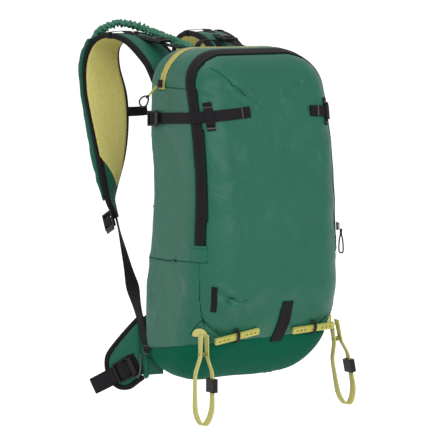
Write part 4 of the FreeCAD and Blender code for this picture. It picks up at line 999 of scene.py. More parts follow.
    def sewn(self, skin: BMesh, name: str, finish: Finish, low: Sequence[float], high: Sequence[float],
             lift: float, thick: float, along: str, nodes: Sequence[str] = (), lean: float = 0.0,
             climbs: Side | None = None) -> None:
        """A flat trim that lies on the skin inside a box.

        Args:
            skin: The bag's skin.
            name: Name of the piece.
            finish: Its finish.
            low: Lowest corner of the box.
            high: Highest corner of the box.
            lift: Distance off the skin.
            thick: Thickness of the trim.
            along: Whether its length runs "up" or "round" the bag.
            nodes: CAD nodes it stands for.
            lean: Degrees that the box leans about Y through its middle.
            climbs: Side whose compression webbing the box climbs with.
        """
        middle = (V(low) + V(high)) / 2
        turn = Matrix.Rotation(math.radians(lean), 3, "Y")
        if climbs:
            middle = V((climbs.value * 120.0, -30.0, 398.0))
            rise = math.atan(self.climb)
            turn = Matrix.Rotation(climbs.value * rise, 3, "Y") @ Matrix.Rotation(-rise, 3, "X")
        near = [f.index for f in skin.faces
                if all(low[i] - 8 < (middle + turn.inverted() @ (f.calc_center_median() - middle))[i] < high[i] + 8
                       for i in range(3))]
        bm = self.part_of(skin, set(near))
        for i in range(3):
            axis = V([float(i == k) for k in range(3)])
            for edge, sign in ((low[i], -1), (high[i], 1)):
                place = middle + turn @ (axis * (edge - middle[i]))
                bmesh.ops.bisect_plane(bm, geom=[*bm.verts, *bm.edges, *bm.faces], dist=ON_PLANE, plane_co=place,
                                       plane_no=turn @ axis * sign, clear_outer=True)
        bm.normal_update()
        for vert in bm.verts:
            vert.co += vert.normal * (lift + thick - (0.25 if vert.is_boundary else 0.0))
        if along == "round":
            uv = bm.loops.layers.uv.active
            for face in bm.faces:
                for loop in face.loops:
                    loop[uv].uv = (loop[uv].uv.y, loop[uv].uv.x)
        self.wall_of(BENCH.piece(bm, name, finish, nodes, closed=False), thick)

    def trims(self, skin: BMesh) -> None:
        """Compression webbing, keepers, strips and patches on the front and sides."""
        w = self.web
        for side, tail in ((Side.LEFT, 38.0), (Side.RIGHT, 70.0)):
            x0, x1 = sorted((side.value * tail, side.value * 200.0))
            self.sewn(skin, side.word + "_compression_web", Finish.WEBBING, (x0, -200, 390.0), (x1, 71, 406.0),
                      1.1, w, "round", [side.word + "_compression_webbing"], climbs=side)
            for end, reach in ((tail, 11.0), (tail + 13.0, 2.2)):
                x0, x1 = sorted((side.value * end, side.value * (end + reach)))
                self.sewn(skin, f"{side.word}_tail_fold_{end:.0f}", Finish.WEBBING if reach > 5 else Finish.TACK,
                          (x0, -200, 390.6), (x1, 0, 405.4), 1.1 + w, 0.7, "round", climbs=side)
            mid = side.value * 104.0
            self.sewn(skin, side.word + "_keeper", Finish.WEBBING, (mid - 5.2, -200, 385.5), (mid + 5.2, 0, 410.5),
                      1.3 + w, w, "up", [side.word + "_keeper_loop"], climbs=side)
            for level, word in ((381.0, "low"), (411.0, "high")):
                self.sewn(skin, f"{side.word}_keeper_foot_{word}", Finish.WEBBING, (mid - 5.2, -200, level - 3.5),
                          (mid + 5.2, 0, level + 7.5), 0.3, w, "up", climbs=side)
                self.sewn(skin, f"{side.word}_keeper_tack_{word}", Finish.TACK, (mid - 5.4, -200, level - 1.2),
                          (mid + 5.4, 0, level + 1.2), 0.3 + w, 0.5, "round", climbs=side)
        self.sewn(skin, "centre_strip_web", Finish.WEBBING, (5.5, -200, 62), (26.5, 0, 125), 0.3, w, "up",
                  ["centre_strip"], lean=3)
        for side in Side:
            x0, x1 = sorted((side.value * 100.0, side.value * 200.0))
            self.sewn(skin, side.word + "_zip_garage", Finish.NYLON, (x0, -75.5, 190.5), (x1, -56.5, 214.5), 0.4,
                      0.9, "up")
            # Seam line across the garage, darker green as painted shade.
            self.sewn(skin, side.word + "_garage_seam", Finish.SEAM_PAINTED_SHADE, (x0, -75.5, 209.8), (x1, -56.5, 210.8), 1.2,
                      0.3, "round")
        self.seams(skin)

    def seams(self, skin: BMesh) -> None:
        """Top-stitched seams: a thin raised line of thread and folded cloth along each, darker green as painted shade
        of the seam's crease.
        """
        tree = BVHTree.FromBMesh(skin)
        lines = (((-133, 64, 184), (-133, 20, 186), (-133, -16, 188), (-130, -52, 190), (-117, -76, 190)),
                 ((-127, -46, 82), (-119, -66, 104), (-104, -70, 92), (-89, -73, 79)),
                 ((-84, -90, 137), (-71, -94, 131), (-57, -94, 133)),
                 ((-89, -44, 470), (-65, -60, 450), (-54, -62, 442), (-42, -65, 432)))
        for number, line in enumerate(lines):
            for side in (Side if number < 2 else (Side.LEFT,)):
                path = [V((side.value * -x, y, z)) for x, y, z in line]
                wide = 1.6 if number < 2 else 0.9
                self.ribbon(tree, f"{side.word}_seam_{number}", Finish.SEAM_PAINTED_SHADE, path, wide, 0.5)
        strip_path = [V((-109.5, -82, 117)), V((-109.5, -84, 136)), V((-109.5, -85, 155))]
        self.ribbon(tree, "short_strip_web", Finish.WEBBING, strip_path, 9.0, self.web, ["short_strip"])

    @staticmethod
    def ribbon(tree: BVHTree, name: str, finish: Finish, line: list[Vector], wide: float, thick: float,
               nodes: Sequence[str] = ()) -> None:
        """Lay a narrow strip on the cloth along a line.

        Args:
            tree: The skin to lie on.
            name: Name of the piece.
            finish: Its finish.
            line: Points near the skin.
            wide: Width in millimetres.
            thick: Thickness in millimetres.
            nodes: CAD nodes that it stands for.
        """
        path = smooth_path(line, 14)
        points, ways = [], []
        for i, spot in enumerate(path):
            place, normal, _, _ = tree.find_nearest(spot)
            ahead = path[min(i + 1, len(path) - 1)] - path[max(i - 1, 0)]
            points.append(place + normal * (0.1 + thick / 2))
            ways.append(ahead.cross(normal).normalized())
        BENCH.webbing(points, ways, wide, name, finish, nodes, thick=thick)


# ---------------------------------------------------------------------------------------------
# Shoulder harness
# ---------------------------------------------------------------------------------------------
def lifter_ends(side: Side) -> tuple[Vector, Vector]:
    """Where a load lifter leaves the crown and where it meets the crest of its strap."""
    return V((56 * side.value, 84, 494)), V((74.5 * side.value, 209, 515.6))


def webbing_foot(side: Side, form: BagForm) -> Vector:
    """Where a strap's lower webbing is sewn to the bag's lower corner."""
    y, z = form.back_y - 22, 41
    return V((side.value * (form.side_x(y, z) + 1.9), y, z))


@dataclass
class ShoulderStrap:
    """One strap: a puffed pad, its lining on the wearer's side, a binding and its webbing."""

    side: Side
    thick: float = 9.0
    form: BagForm = field(default_factory=BagForm)
    edges: tuple = (
        ((-100, 89.6, 438), (-36, 89.6, 438)), ((-100, 105, 458), (-36, 105, 458)),
        ((-100, 122, 474), (-36, 124, 475)), ((-102, 165, 500), (-40, 170, 502)),
        ((-105, 204, 509.5), (-44, 214, 510)), ((-107, 236, 507), (-48, 248, 504)),
        ((-110, 260, 492), (-51, 267, 487)), ((-113, 272, 463), (-50, 268, 458)),
        ((-116, 267, 424), (-52, 245, 420)), ((-119, 251, 390), (-57, 231, 388)),
        ((-124, 230, 358), (-66, 219, 354)), ((-130, 206, 324), (-79, 208, 320)),
        ((-136, 182, 291), (-95, 198, 291)), ((-138, 164, 262), (-112, 187, 263)),
        ((-134, 158, 247), (-117, 176, 248)), ((-131, 152, 237), (-121, 165, 237)),
    )

    def rows(self, steps: int = 5) -> list[tuple[Vector, Vector, Vector]]:
        """Centre, half-width vector and outward normal along the strap."""
        flip = self.side.value
        outer = smooth_path([V((p[0][0] * -flip, p[0][1], p[0][2])) for p in self.edges], steps)
        inner = smooth_path([V((p[1][0] * -flip, p[1][1], p[1][2])) for p in self.edges], steps)
        result = []
        last = len(outer) - 1
        for i, (a, b) in enumerate(zip(outer, inner)):
            low, high = max(i - 1, 0), min(i + 1, last)
            ahead = (outer[high] + inner[high] - outer[low] - inner[low]) / 2
            half = (a - b) / 2
            result.append(((a + b) / 2, half, ahead.cross(half).normalized() * -flip))
        return result

    def build(self) -> None:
        """Make the strap and everything that lies on it."""
        rows = self.rows()
        pad = self.pad(rows)
        self.lining(rows, pad)
        self.binding(rows)
        self.lifter(rows)
        self.lower(rows)

    def pad(self, rows: list[tuple[Vector, Vector, Vector]]) -> Object:
        """The padding in its green shell."""
        rings = []
        for centre, half, out in rows:
            width = half.length * 2 - 3
            place = Station(centre, half.normalized(), out)
            rings.append(place.ring(oval_profile(width, self.thick * 0.8, 28, 0.42)))
        word = self.side.word
        obj = BENCH.lofted(rings, word + "_strap_pad", Finish.STRAP_SHELL, [word + "_shoulder_strap"])
        puff(obj, 4.0, 1.6)
        return obj

    def lining(self, rows: list[tuple[Vector, Vector, Vector]], pad: Object) -> None:
        """Spacer mesh on the wearer's side, down to a slanted seam above the tip."""
        tree = BVHTree.FromPolygons([FROM_ROW @ v.co for v in pad.data.vertices],
                                    [tuple(p.vertices) for p in pad.data.polygons])
        rings = []
        for number, (centre, half, out) in enumerate(rows[2:63]):
            low = max(0.0, (number - 53) / 8)
            a0, a1 = -0.88, 0.88 - 1.7 * low
            ring = []
            for step in range(13):
                share = a0 + (a1 - a0) * step / 12
                rise = self.thick * (0.30 + 0.18 * (1 - share * share) ** 0.5)
                spot = centre + half * share - out * (rise + 0.9)
                met = tree.ray_cast(spot - out * 6, out, 12)[0]
                if met is not None and (met - spot).dot(out) < 1.0:
                    spot = met - out * 1.0
                ring.append(spot)
            rings.append(ring + [p + out * 1.2 for p in reversed(ring)])
        BENCH.lofted(rings, self.side.word + "_strap_lining", Finish.LINING)

    def binding(self, rows: list[tuple[Vector, Vector, Vector]]) -> None:
        """Grosgrain folded over both edges and round the tip."""
        left, right = [[(c + h.normalized() * sign * max(0.6, h.length - 4.6), h.normalized(), o) for c, h, o in rows]
                       for sign in (-1, 1)]
        tip = rows[-1][0] + (rows[-1][0] - rows[-3][0]).normalized() * 3
        line = left + [(tip, left[-1][1], left[-1][2])] + right[::-1]
        profile = oval_profile(10.4, self.thick * 0.94, 16, 0.45)
        rings = [Station(centre, across, out).ring(profile) for centre, across, out in line]
        BENCH.lofted(rings, self.side.word + "_strap_binding", Finish.BINDING)

    def lifter(self, rows: list[tuple[Vector, Vector, Vector]]) -> None:
        """Load-lifter webbing from the crest of the strap to the crown, with its wrap."""
        anchor, crest = lifter_ends(self.side)
        dip = V((0, 0, -1.5))
        path = smooth_path([anchor, anchor.lerp(crest, 0.3) + dip, anchor.lerp(crest, 0.7) + dip, crest], 6)
        word = self.side.word
        BENCH.webbing(path, ALONG_X, 15, word + "_lifter_web", Finish.WEBBING, [word + "_lifter_webbing"])
        centre, half, out = rows[21]
        ahead = (rows[22][0] - rows[20][0]).normalized()
        rings = []
        for point in Station(centre, half.normalized(), out).ring(
                oval_profile(half.length * 2 + 3.4, self.thick + 3.0, 40, 0.4)):
            rings.append(Station(point, ahead, (point - centre).normalized()).ring(web_profile(13, 1.2)))
        BENCH.lofted(rings, word + "_lifter_wrap", Finish.WEBBING, closed_path=True)

    def lower(self, rows: list[tuple[Vector, Vector, Vector]]) -> None:
        """Webbing that turns from edge on at the tip to flat against the bag's lower corner."""
        centre, half, _ = rows[-1]
        tip = centre + (centre - rows[-4][0]).normalized() * 1.5
        foot = webbing_foot(self.side, self.form)
        edge = half.normalized()
        spots = [tip, tip.lerp(foot, 0.12), tip.lerp(foot, 0.35), tip.lerp(foot, 0.7), tip.lerp(foot, 0.9), foot]
        turns = [edge, edge, edge + V((0, 0.5, 0)), V((0, 1, -0.3)), V((0, 1, -0.15)), OUT_BACK]
        path = smooth_path(spots, 10)
        ways = smooth_path([t.normalized() for t in turns], 10)
        word = self.side.word
        BENCH.webbing(path, ways, 20, word + "_lower_web", Finish.WEBBING, [word + "_lower_webbing"])
        bm = bmesh.new()
        end = tip.lerp(foot, 0.985)
        for level in (-6.0, 6.0):
            path = [end + V((self.side.value * 1.3, y, level)) for y in (-9, -3, 3, 9)]
            strip(bm, path, UP, 1.4, 0.6)
        BENCH.piece(bm, word + "_lower_tack", Finish.TACK)


@dataclass
class Hose:
    """The hose in its gathered sleeve, and the zipped sleeve that it enters on the left strap."""

    strap: ShoulderStrap
    radius: float = 5.5
    ring_step: float = 1.1
    pleat_pitch: float = 7.4
    grain: float = 5.2
    route: tuple = ((-37, 78, 493), (-39, 106, 500), (-41, 140, 506), (-46, 172, 514), (-56, 197, 523),
                    (-70, 221, 529), (-82, 240, 526), (-90, 256, 516))

    def centre_line(self) -> list[Vector]:
        """Points of the route's smooth curve, in working millimetres."""
        curve = bpy.data.curves.new("hose_line", "CURVE")
        curve.dimensions = "3D"
        curve.resolution_u = 24
        spline = curve.splines.new("NURBS")
        spline.points.add(len(self.route) - 1)
        for point, spot in zip(spline.points, self.route):
            point.co = (*spot, 1.0)
        spline.order_u = 3
        spline.use_endpoint_u = True
        line = bpy.data.objects.new("hose_line", curve)
        bpy.context.scene.collection.objects.link(line)
        mesh = bpy.data.meshes.new_from_object(line)
        points = [v.co.copy() for v in mesh.vertices]
        bpy.data.objects.remove(line)
        bpy.data.meshes.remove(mesh)
        return points

    def build(self) -> None:
        """Make the gathered tube and the zipped sleeve."""
        coarse = self.centre_line()
        length = sum((b - a).length for a, b in zip(coarse, coarse[1:]))
        count = int(length / self.ring_step)
        points, travelled, number = [], 0.0, 0
        for i in range(count + 1):
            goal = length * i / count
            while number < len(coarse) - 2 and travelled + (coarse[number + 1] - coarse[number]).length < goal:
                travelled += (coarse[number + 1] - coarse[number]).length
                number += 1
            run = coarse[number + 1] - coarse[number]
            points.append(coarse[number] + run * min(1.0, (goal - travelled) / run.length))

        def gathered(i: int, turn: float) -> float:
            """Radius of the gathered cloth at a ring and a turn round it."""
            spot = V((math.cos(turn) * 1.2, math.sin(turn) * 1.2, i * self.ring_step / self.grain))
            swing = i * self.ring_step / self.pleat_pitch * 2 * math.pi
            pleat = math.sin(swing + 1.5 * math.sin(turn * 2 + i * 0.1))
            return self.radius * (0.88 + 0.30 * pleat + 0.5 * noise.noise(spot))

        rings = self.pleated(points, gathered)
        obj = BENCH.lofted(rings, "hose_gathered_sleeve", Finish.RUCHED, ["hose_sleeve"])
        self.entry(points[-8], points[-1])
        self.sleeve()

    def entry(self, before: Vector, end: Vector) -> None:
        """The gathered mouth that leads the hose down into the strap's sleeve."""
        centre, half, out = self.strap.rows()[31]
        goal = centre + half * 0.60 + out * 6.5
        ahead = (end - before).normalized()
        path = smooth_path([end - ahead * 5, end, end + ahead * 9, end.lerp(goal, 0.7), goal], 8)

        def gathered(i: int, turn: float) -> float:
            """Radius of the gathered cloth at a ring and a turn round it."""
            spot = V((math.cos(turn), math.sin(turn), i * 0.3))
            pleat = math.sin(i * 1.35 + 1.5 * math.sin(turn * 2 + i * 0.1))
            return self.radius * (1.02 + 0.16 * pleat + 0.3 * noise.noise(spot))

        BENCH.lofted(self.pleated(path, gathered), "hose_sleeve_mouth", Finish.RUCHED)

    @staticmethod
    def pleated(path: Sequence[Vector], radius: Callable[[int, float], float]) -> list[list[Vector]]:
        """Rings along a path whose radius depends on the ring's number and the turn round it."""
        rings = []
        for i, place in enumerate(stations(path, [V((1, 0.2, 0.1))] * len(path))):
            ring = []
            for k in range(24):
                turn = math.tau * k / 24
                reach = radius(i, turn)
                ring.append(place.centre + place.across * math.cos(turn) * reach + place.off * math.sin(turn) * reach)
            rings.append(ring)
        return rings

    def sleeve(self) -> None:
        """The zipped sleeve: a slack green tube along the outer half of the strap."""
        rows = self.strap.rows()[28:66]
        rings = []
        last = len(rows) - 1
        for i, (centre, half, out) in enumerate(rows):
            share = i / last
            # Slack at the top where the hose goes in, a pinch, then the long full part.
            full = self.fullness(share) * (1.0 - 0.42 * math.exp(-((share - 0.34) / 0.06) ** 2))
            wide = half.length * (0.9 + 0.15 * math.sin(share * math.pi))
            mid = centre + half * 0.60 + out * (4.9 + 5.4 * full)
            ring = []
            for k, (a, b) in enumerate(oval_profile(wide, 13.0 * full, 26, 0.7)):
                fold = 0.8 * noise.noise(V((k * 0.35, i * 0.42, 3.1))) + 0.5 * noise.noise(V((k * 0.2, i * 0.9, 7.7)))
                gather = 1.7 * math.sin(i * 2.2 + k * 0.4) * max(0.0, 1 - share * 3)
                ring.append(mid + half.normalized() * (a + fold) + out * (b + fold + gather))
            rings.append(ring)
        BENCH.lofted(rings, "strap_sleeve_cloth", Finish.STRAP_SHELL, ["strap_hose_sleeve"])
        points, ways = [], []
        for i, (centre, half, out) in enumerate(rows[2:-2]):
            points.append(centre + half * 0.2 + out * (5.3 + 7.0 * self.fullness((i + 2) / last)))
            ways.append(half.normalized())
        bm = bmesh.new()
        strip(bm, points, ways, 7.0, 1.2)
        BENCH.piece(bm, "strap_sleeve_zip", Finish.BINDING)

    @staticmethod
    def fullness(share: float) -> float:
        """How full the sleeve is at a share of its length: slim at both ends."""
        return min(1.0, 4.5 * share + 0.35) * min(1.0, 3.0 * (1 - share) + 0.12)


class SternumStrap:
    """Webbing of the sternum strap with the clips that run on the rails."""

    def build(self) -> None:
        """Make both halves on their own bodies."""
        for side in Side:
            node = side.word + "_sternum_webbing"
            low, high = box_of(node)
            x_grip = side.value * 68.0
            inner = 10.0 if side is Side.LEFT else 28.0
            y_web, z_web = self.web_centre(node)
            points = [V((x_grip * 0.96, y_web, z_web)), V((x_grip * 0.8, y_web + 0.4, z_web - 0.5)),
                      V((side.value * (inner + 16), y_web + 0.3, z_web - 0.8)), V((side.value * inner, y_web, z_web))]
            body = side.word + "_sternum"
            BENCH.webbing(smooth_path(points, 6), UP, 15, body + "_web", Finish.WEBBING, [node], body)
            bm = bmesh.new()
            bmesh.ops.create_cube(bm, size=1.0)
            centre = V((x_grip, (low.y + high.y) / 2, z_web))
            bmesh.ops.transform(bm, matrix=Matrix.Translation(centre) @ Matrix.Diagonal((8.0, 8.4, 13.0, 1.0)),
                                verts=bm.verts)
            bmesh.ops.bevel(bm, geom=bm.edges[:], offset=1.2, segments=3, profile=0.5, affect="EDGES", material=-1)
            BENCH.piece(bm, body + "_clip", Finish.ACETAL, body=body)

    @staticmethod
    def web_centre(node: str) -> tuple[float, float]:
        """Depth and level of the webbing, read from the CAD solid's inner end."""
        points = points_of(node)
        inner = min(abs(p.x) for p in points)
        end = [p for p in points if abs(p.x) < inner + 0.5]
        return sum(p.y for p in end) / len(end), sum(p.z for p in end) / len(end)


# ---------------------------------------------------------------------------------------------
# Loops, pulls and handle
# ---------------------------------------------------------------------------------------------
@dataclass
class SkiLoop:
    """A ski-carry loop of webbing on its own body, with the tack and gusset it comes out of."""

    side: Side
    exit_x: float = 119.0
    exit_level: float = 84.0
    width: float = 13.0
    form: BagForm = field(default_factory=BagForm)
    half: tuple = ((5.0, 0), (5.6, -14), (6.3, -32), (10.2, -44), (14.5, -57), (15.1, -80), (15.1, -98),
                   (14.2, -112), (9.6, -125), (3.4, -132.4))

    def place(self, x: float, z: float) -> Vector:
        """A point of the loop's own plane, x to the right and z up from its exit."""
        lean = {Side.LEFT: 0.0, Side.RIGHT: math.radians(12)}[self.side]
        low, high = box_of(self.side.word + "_ski_loop")
        depth = (low.y + high.y) / 2
        turned = V((x * math.cos(lean) - z * math.sin(lean), 0, x * math.sin(lean) + z * math.cos(lean)))
        return V((self.side.value * self.exit_x, depth, self.exit_level)) + turned

    def build(self) -> None:
        """Make the loop, its stitching, its tack and its gusset."""
        word = self.side.word
        row = [self.place(-x, z) for x, z in self.half] + [self.place(x, z) for x, z in reversed(self.half)]
        path = smooth_path(row, 7)
        twist = [V((0.22 * math.sin(i / len(path) * math.tau * 1.5), 1, 0)) for i in range(len(path))]
        BENCH.webbing(path, twist, self.width - 0.6, word + "_loop_web", Finish.LOOP_WEBBING, [word + "_ski_loop"],
                      word + "_loop")
        bm = bmesh.new()
        for level in (-30.0, -27.5):
            strip(bm, [self.place(x, level) for x in (-7.0, 0, 7.0)], OUT_BACK, self.width - 2, 0.9)
        BENCH.piece(bm, word + "_loop_tack", Finish.LOOP_TACK, body=word + "_loop")
        self.tab()

    def tab(self) -> None:
        """The rounded tab sewn into the seam where the loop comes out."""
        x = self.side.value * (self.exit_x - 1.5)
        spot, out = self.form.on_front(x, self.exit_level - 2, 0.0)
        up = (UP - out * out.z).normalized()
        along = up.cross(out).normalized()
        bm = bmesh.new()
        bmesh.ops.create_uvsphere(bm, u_segments=32, v_segments=16, radius=1.0)
        bmesh.ops.bisect_plane(bm, geom=[*bm.verts, *bm.edges, *bm.faces], dist=ON_PLANE, plane_co=(0, -0.15, 0),
                               plane_no=(0, -1, 0), clear_outer=True)
        rim = [e for e in bm.edges if e.is_boundary]
        bmesh.ops.contextual_create(bm, geom=rim)
        turn = Matrix((along, up, out)).transposed().to_4x4()
        bmesh.ops.transform(bm, matrix=Matrix.Translation(spot) @ turn @ Matrix.Diagonal((11.5, 10.5, 3.2, 1.0)),
                            verts=bm.verts)
        self.flat_map(bm, spot, along, up)
        BENCH.piece(bm, self.side.word + "_loop_tab", Finish.LOOP_WEBBING)

    @staticmethod
    def flat_map(bm: BMesh, spot: Vector, along: Vector, up: Vector) -> None:
        """Lay the cloth map flat over a small piece."""
        uv = bm.loops.layers.uv.get("cloth") or bm.loops.layers.uv.new("cloth")
        for face in bm.faces:
            for loop in face.loops:
                off = loop.vert.co - spot
                loop[uv].uv = (off.dot(along) * MM, off.dot(up) * MM)


@dataclass
class TrimCords:
    """Small cords: the toggles' loops and the two zip pulls."""

    form: BagForm = field(default_factory=BagForm)

    def build(self) -> None:
        """Make every small cord."""
        for side, x, tilt in ((Side.LEFT, -66.0, 10.0), (Side.RIGHT, 73.0, 2.0)):
            self.toggle_loop(side, x, tilt)
        self.top_pull()
        self.front_pull()

    def toggle_loop(self, side: Side, x: float, tilt: float) -> None:
        """Black cord over the middle of a toggle and into the bag above and below it."""
        spot, out = self.form.on_front(x, 80.0, 0.0)
        out = V((0, out.y, out.z)).normalized()
        up = (UP - out * out.z).normalized()
        lean = math.radians(tilt)
        along = V((math.cos(lean), 0, 0)) + up * math.sin(lean)
        rise = out.cross(along).normalized()
        rise = rise if rise.z > 0 else -rise
        for shift, word in ((-1.3, "a"), (1.3, "b")):
            row = [spot + rise * a + out * b + along * (shift * w) for a, b, w in (
                (-9.0, -1.5, 1), (-9.3, 4.4, 1.2), (-5.4, 9.0, 1), (0, 9.8, 1), (5.4, 9.2, 1.0), (9.6, 5.4, 1.3),
                (10.4, -1.5, 1.8))]
            BENCH.corded(smooth_path(row, 6), 1.15, f"{side.word}_toggle_cord_{word}", Finish.CORD_BLACK)

    def top_pull(self) -> None:
        """Yellow cord from the top slider to a black finger loop."""
        knot, tail = V((-131.0, 36.0, 441.6)), V((-145.5, 36.0, 426.8))
        away = (tail - knot).normalized()
        wide = V((away.z, 0, -away.x))
        row = [knot + wide * 1.5, knot + away * 7 + wide * 0.9, tail + wide * 0.3, tail - wide * 0.9,
               knot + away * 7 - wide * 1.1, knot - wide * 1.7]
        BENCH.corded(smooth_path(row, 6), 0.9, "top_pull_cord", Finish.CORD_YELLOW, ["top_zip_pull"], "top_pull")
        eye = tail + away * 9.4
        row = [eye + away * (8.8 * math.cos(t)) + wide * (6.8 * math.sin(t) * (1.0 + 0.25 * math.cos(t)))
               for t in [math.tau * i / 28 for i in range(28)]]
        BENCH.corded(row, 1.25, "top_pull_loop", Finish.CORD_BLACK, body="top_pull", closed_path=True)
        BENCH.corded([tail - away * 1.5, tail + away * 3.2], 2.0, "top_pull_sleeve", Finish.ACETAL, body="top_pull")

    def front_pull(self) -> None:
        """Black cord and finger loop on the front slider."""
        low, high = box_of("front_zip_pull")
        top = V(((low.x + high.x) / 2 - 0.5, (low.y + high.y) / 2, high.z - 1.5))
        end = V(((low.x + high.x) / 2, (low.y + high.y) / 2, low.z + 1.2))
        away = (end - top).normalized()
        wide = V((0.35, -0.94, 0)).normalized()
        legs = ((0, 1.3), (8, 0.8), (15, 2.6), (26, 3.8))
        row = [top + away * a + wide * b for a, b in legs] + [end + wide * 3.0, end - wide * 3.0]
        row += [top + away * a - wide * b for a, b in reversed(legs)]
        BENCH.corded(smooth_path(row, 5), 1.15, "front_pull_loop", Finish.CORD_BLACK, ["front_zip_pull"], "front_pull")


@dataclass
class HaulLoop:
    """The haul handle: an arch of webbing on the crown, sewn to the back."""

    half: float = 20.0
    root: float = 466.0
    top: float = 503.5
    depth: float = 93.0
    width: float = 14.0

    def build(self) -> None:
        """Make the arch and its bar tacks."""
        h = self.half
        rise = ((h + 1.2, self.root + 1), (h + 1.2, self.root + 18), (h - 1.5, self.top - 6), (h * 0.55, self.top))
        row = [V((-x, self.depth, z)) for x, z in rise] + [V((0, self.depth, self.top + 0.8))]
        row += [V((x, self.depth, z)) for x, z in reversed(rise)]
        BENCH.webbing(smooth_path(row, 6), OUT_BACK, self.width, "haul_handle", Finish.WEBBING, ["haul_loop"])
        for side in Side:
            bm = bmesh.new()
            x = side.value * (h + 2.3)
            for level in (4.0, 9.0):
                strip(bm, [V((x, self.depth + y, self.root + level)) for y in (-5.5, 0, 5.5)], UP, 1.5, 0.5)
            BENCH.piece(bm, side.word + "_haul_tack", Finish.TACK)


# ---------------------------------------------------------------------------------------------
# Back of the bag
# ---------------------------------------------------------------------------------------------
@dataclass
class BackSystem:
    """The padded back with its air channel, and the sleeve that hangs inside the bag."""

    half: float = 98.0
    low: float = 34.0
    high: float = 426.0
    face: float = 86.3
    thick: float = 10.0
    channel: float = 17.0
    corner: float = 24.0

    def build(self) -> None:
        """Make both foam halves, the channel's mesh, the binding and the sleeve."""
        for side in Side:
            self.cushion(side)
        self.channel_mesh()
        self.edge()
        self.sleeve()

    def outline(self, x0: float, x1: float, radii: tuple[float, float], inset: float, count: int = 10) -> list[Vector]:
        """Rounded outline in the plane of the back; the radii are for the x0 and the x1 corners."""
        x0, x1, low, high = x0 + inset, x1 - inset, self.low + inset, self.high - inset
        points = []
        for cx, cz, radius, start in ((x0, low, radii[0], 180), (x1, low, radii[1], 270), (x1, high, radii[1], 0),
                                      (x0, high, radii[0], 90)):
            r = max(2.0, radius - inset)
            mx = cx + r * (1 if cx == x0 else -1)
            mz = cz + r * (1 if cz == low else -1)
            for i in range(count + 1):
                turn = math.radians(start + 90 * i / count)
                points.append(V((mx + r * math.cos(turn), 0, mz + r * math.sin(turn))))
            following = {180: (x1, low), 270: (x1, high), 0: (x0, high), 90: (x0, low)}[start]
            last = points[-1]
            span = V((following[0], 0, following[1])) - last
            points += [last + span * (i / 16) * 0.9 for i in range(1, 16)]
        return points

    def cushion(self, side: Side) -> None:
        """One half of the padding, puffed and pressed in by two sewn lines."""
        x0, x1 = sorted((side.value * (self.channel + 1.5), side.value * (self.half - 2.5)))
        radii = (self.corner, 7.0) if side is Side.LEFT else (7.0, self.corner)
        rings = []
        for inset, depth in ((26.0, 0.6), (10.0, 0.6), (1.0, 0.6), (0.0, 1.6), (1.2, 4.6), (4.0, 6.8), (9.0, 7.7),
                             (16.0, 8.1), (26.0, 8.2)):
            rings.append([V((p.x, self.face + depth, p.z)) for p in self.outline(x0, x1, radii, inset)])
        obj = BENCH.lofted(rings, side.word + "_back_cushion", Finish.BACK_MESH,
                           ["back_foam_pad"] if side is Side.LEFT else [])
        puff(obj, 5.0, 2.0)
        self.sew(obj)

    def sew(self, obj: Object) -> None:
        """Press two sewn lines across a cushion and give it a flat cloth map."""
        mesh = obj.data
        for vert in mesh.vertices:
            place = FROM_ROW @ vert.co
            if place.y < self.face + 3:
                continue
            dip = sum(math.exp(-((place.z - level) / 4.0) ** 2) for level in (150.0, 300.0))
            vert.co.y -= 3.2 * MM * dip
        layer = mesh.uv_layers.get("cloth") or mesh.uv_layers.new(name="cloth")
        for loop in mesh.loops:
            co = mesh.vertices[loop.vertex_index].co
            layer.data[loop.index].uv = (co.x, co.z + co.y)

    def channel_mesh(self) -> None:
        """Mesh along the bottom of the air channel."""
        profile = oval_profile(2 * self.channel + 4, 4.2, 16, 0.5)
        levels = [self.low + 6 + (self.high - self.low - 12) * i / 40 for i in range(41)]
        rings = [Station(V((0, self.face + 2.6, z)), ALONG_X, OUT_BACK).ring(profile) for z in levels]
        BENCH.lofted(rings, "back_channel_mesh", Finish.BACK_MESH)

    def edge(self) -> None:
        """Binding round the whole pad."""
        row = [V((p.x, self.face + 2.2, p.z)) for p in self.outline(-self.half, self.half, (self.corner,) * 2, 1.6)]
        rings = []
        for i, point in enumerate(row):
            ahead = (row[(i + 1) % len(row)] - row[i - 1]).normalized()
            rings.append(Station(point, ahead.cross(OUT_BACK), OUT_BACK).ring(oval_profile(4.6, 3.6, 10, 0.7)))
        BENCH.lofted(rings, "back_pad_binding", Finish.BINDING, closed_path=True)

    def sleeve(self) -> None:
        """The flat sleeve inside the bag that holds a water bladder."""
        width, length = 145.0, 305.0
        bm = bmesh.new()
        bmesh.ops.create_grid(bm, x_segments=24, y_segments=40, size=0.5)
        uv = bm.loops.layers.uv.new("cloth")
        for vert in bm.verts:
            x, z = vert.co.x * width, vert.co.y * length
            belly = 5.0 * math.cos(vert.co.x * math.pi) * math.cos(vert.co.y * math.pi * 0.9)
            vert.co = V((x, 77.0 - belly, 219.0 + z))
        for face in bm.faces:
            for loop in face.loops:
                loop[uv].uv = (loop.vert.co.x * MM, loop.vert.co.z * MM)
        obj = BENCH.piece(bm, "reservoir_sleeve_cloth", Finish.BOOT_NYLON_PAINTED_SHADE, ["reservoir_sleeve"],
                          closed=False)
        Bag.wall_of(obj, 0.6)


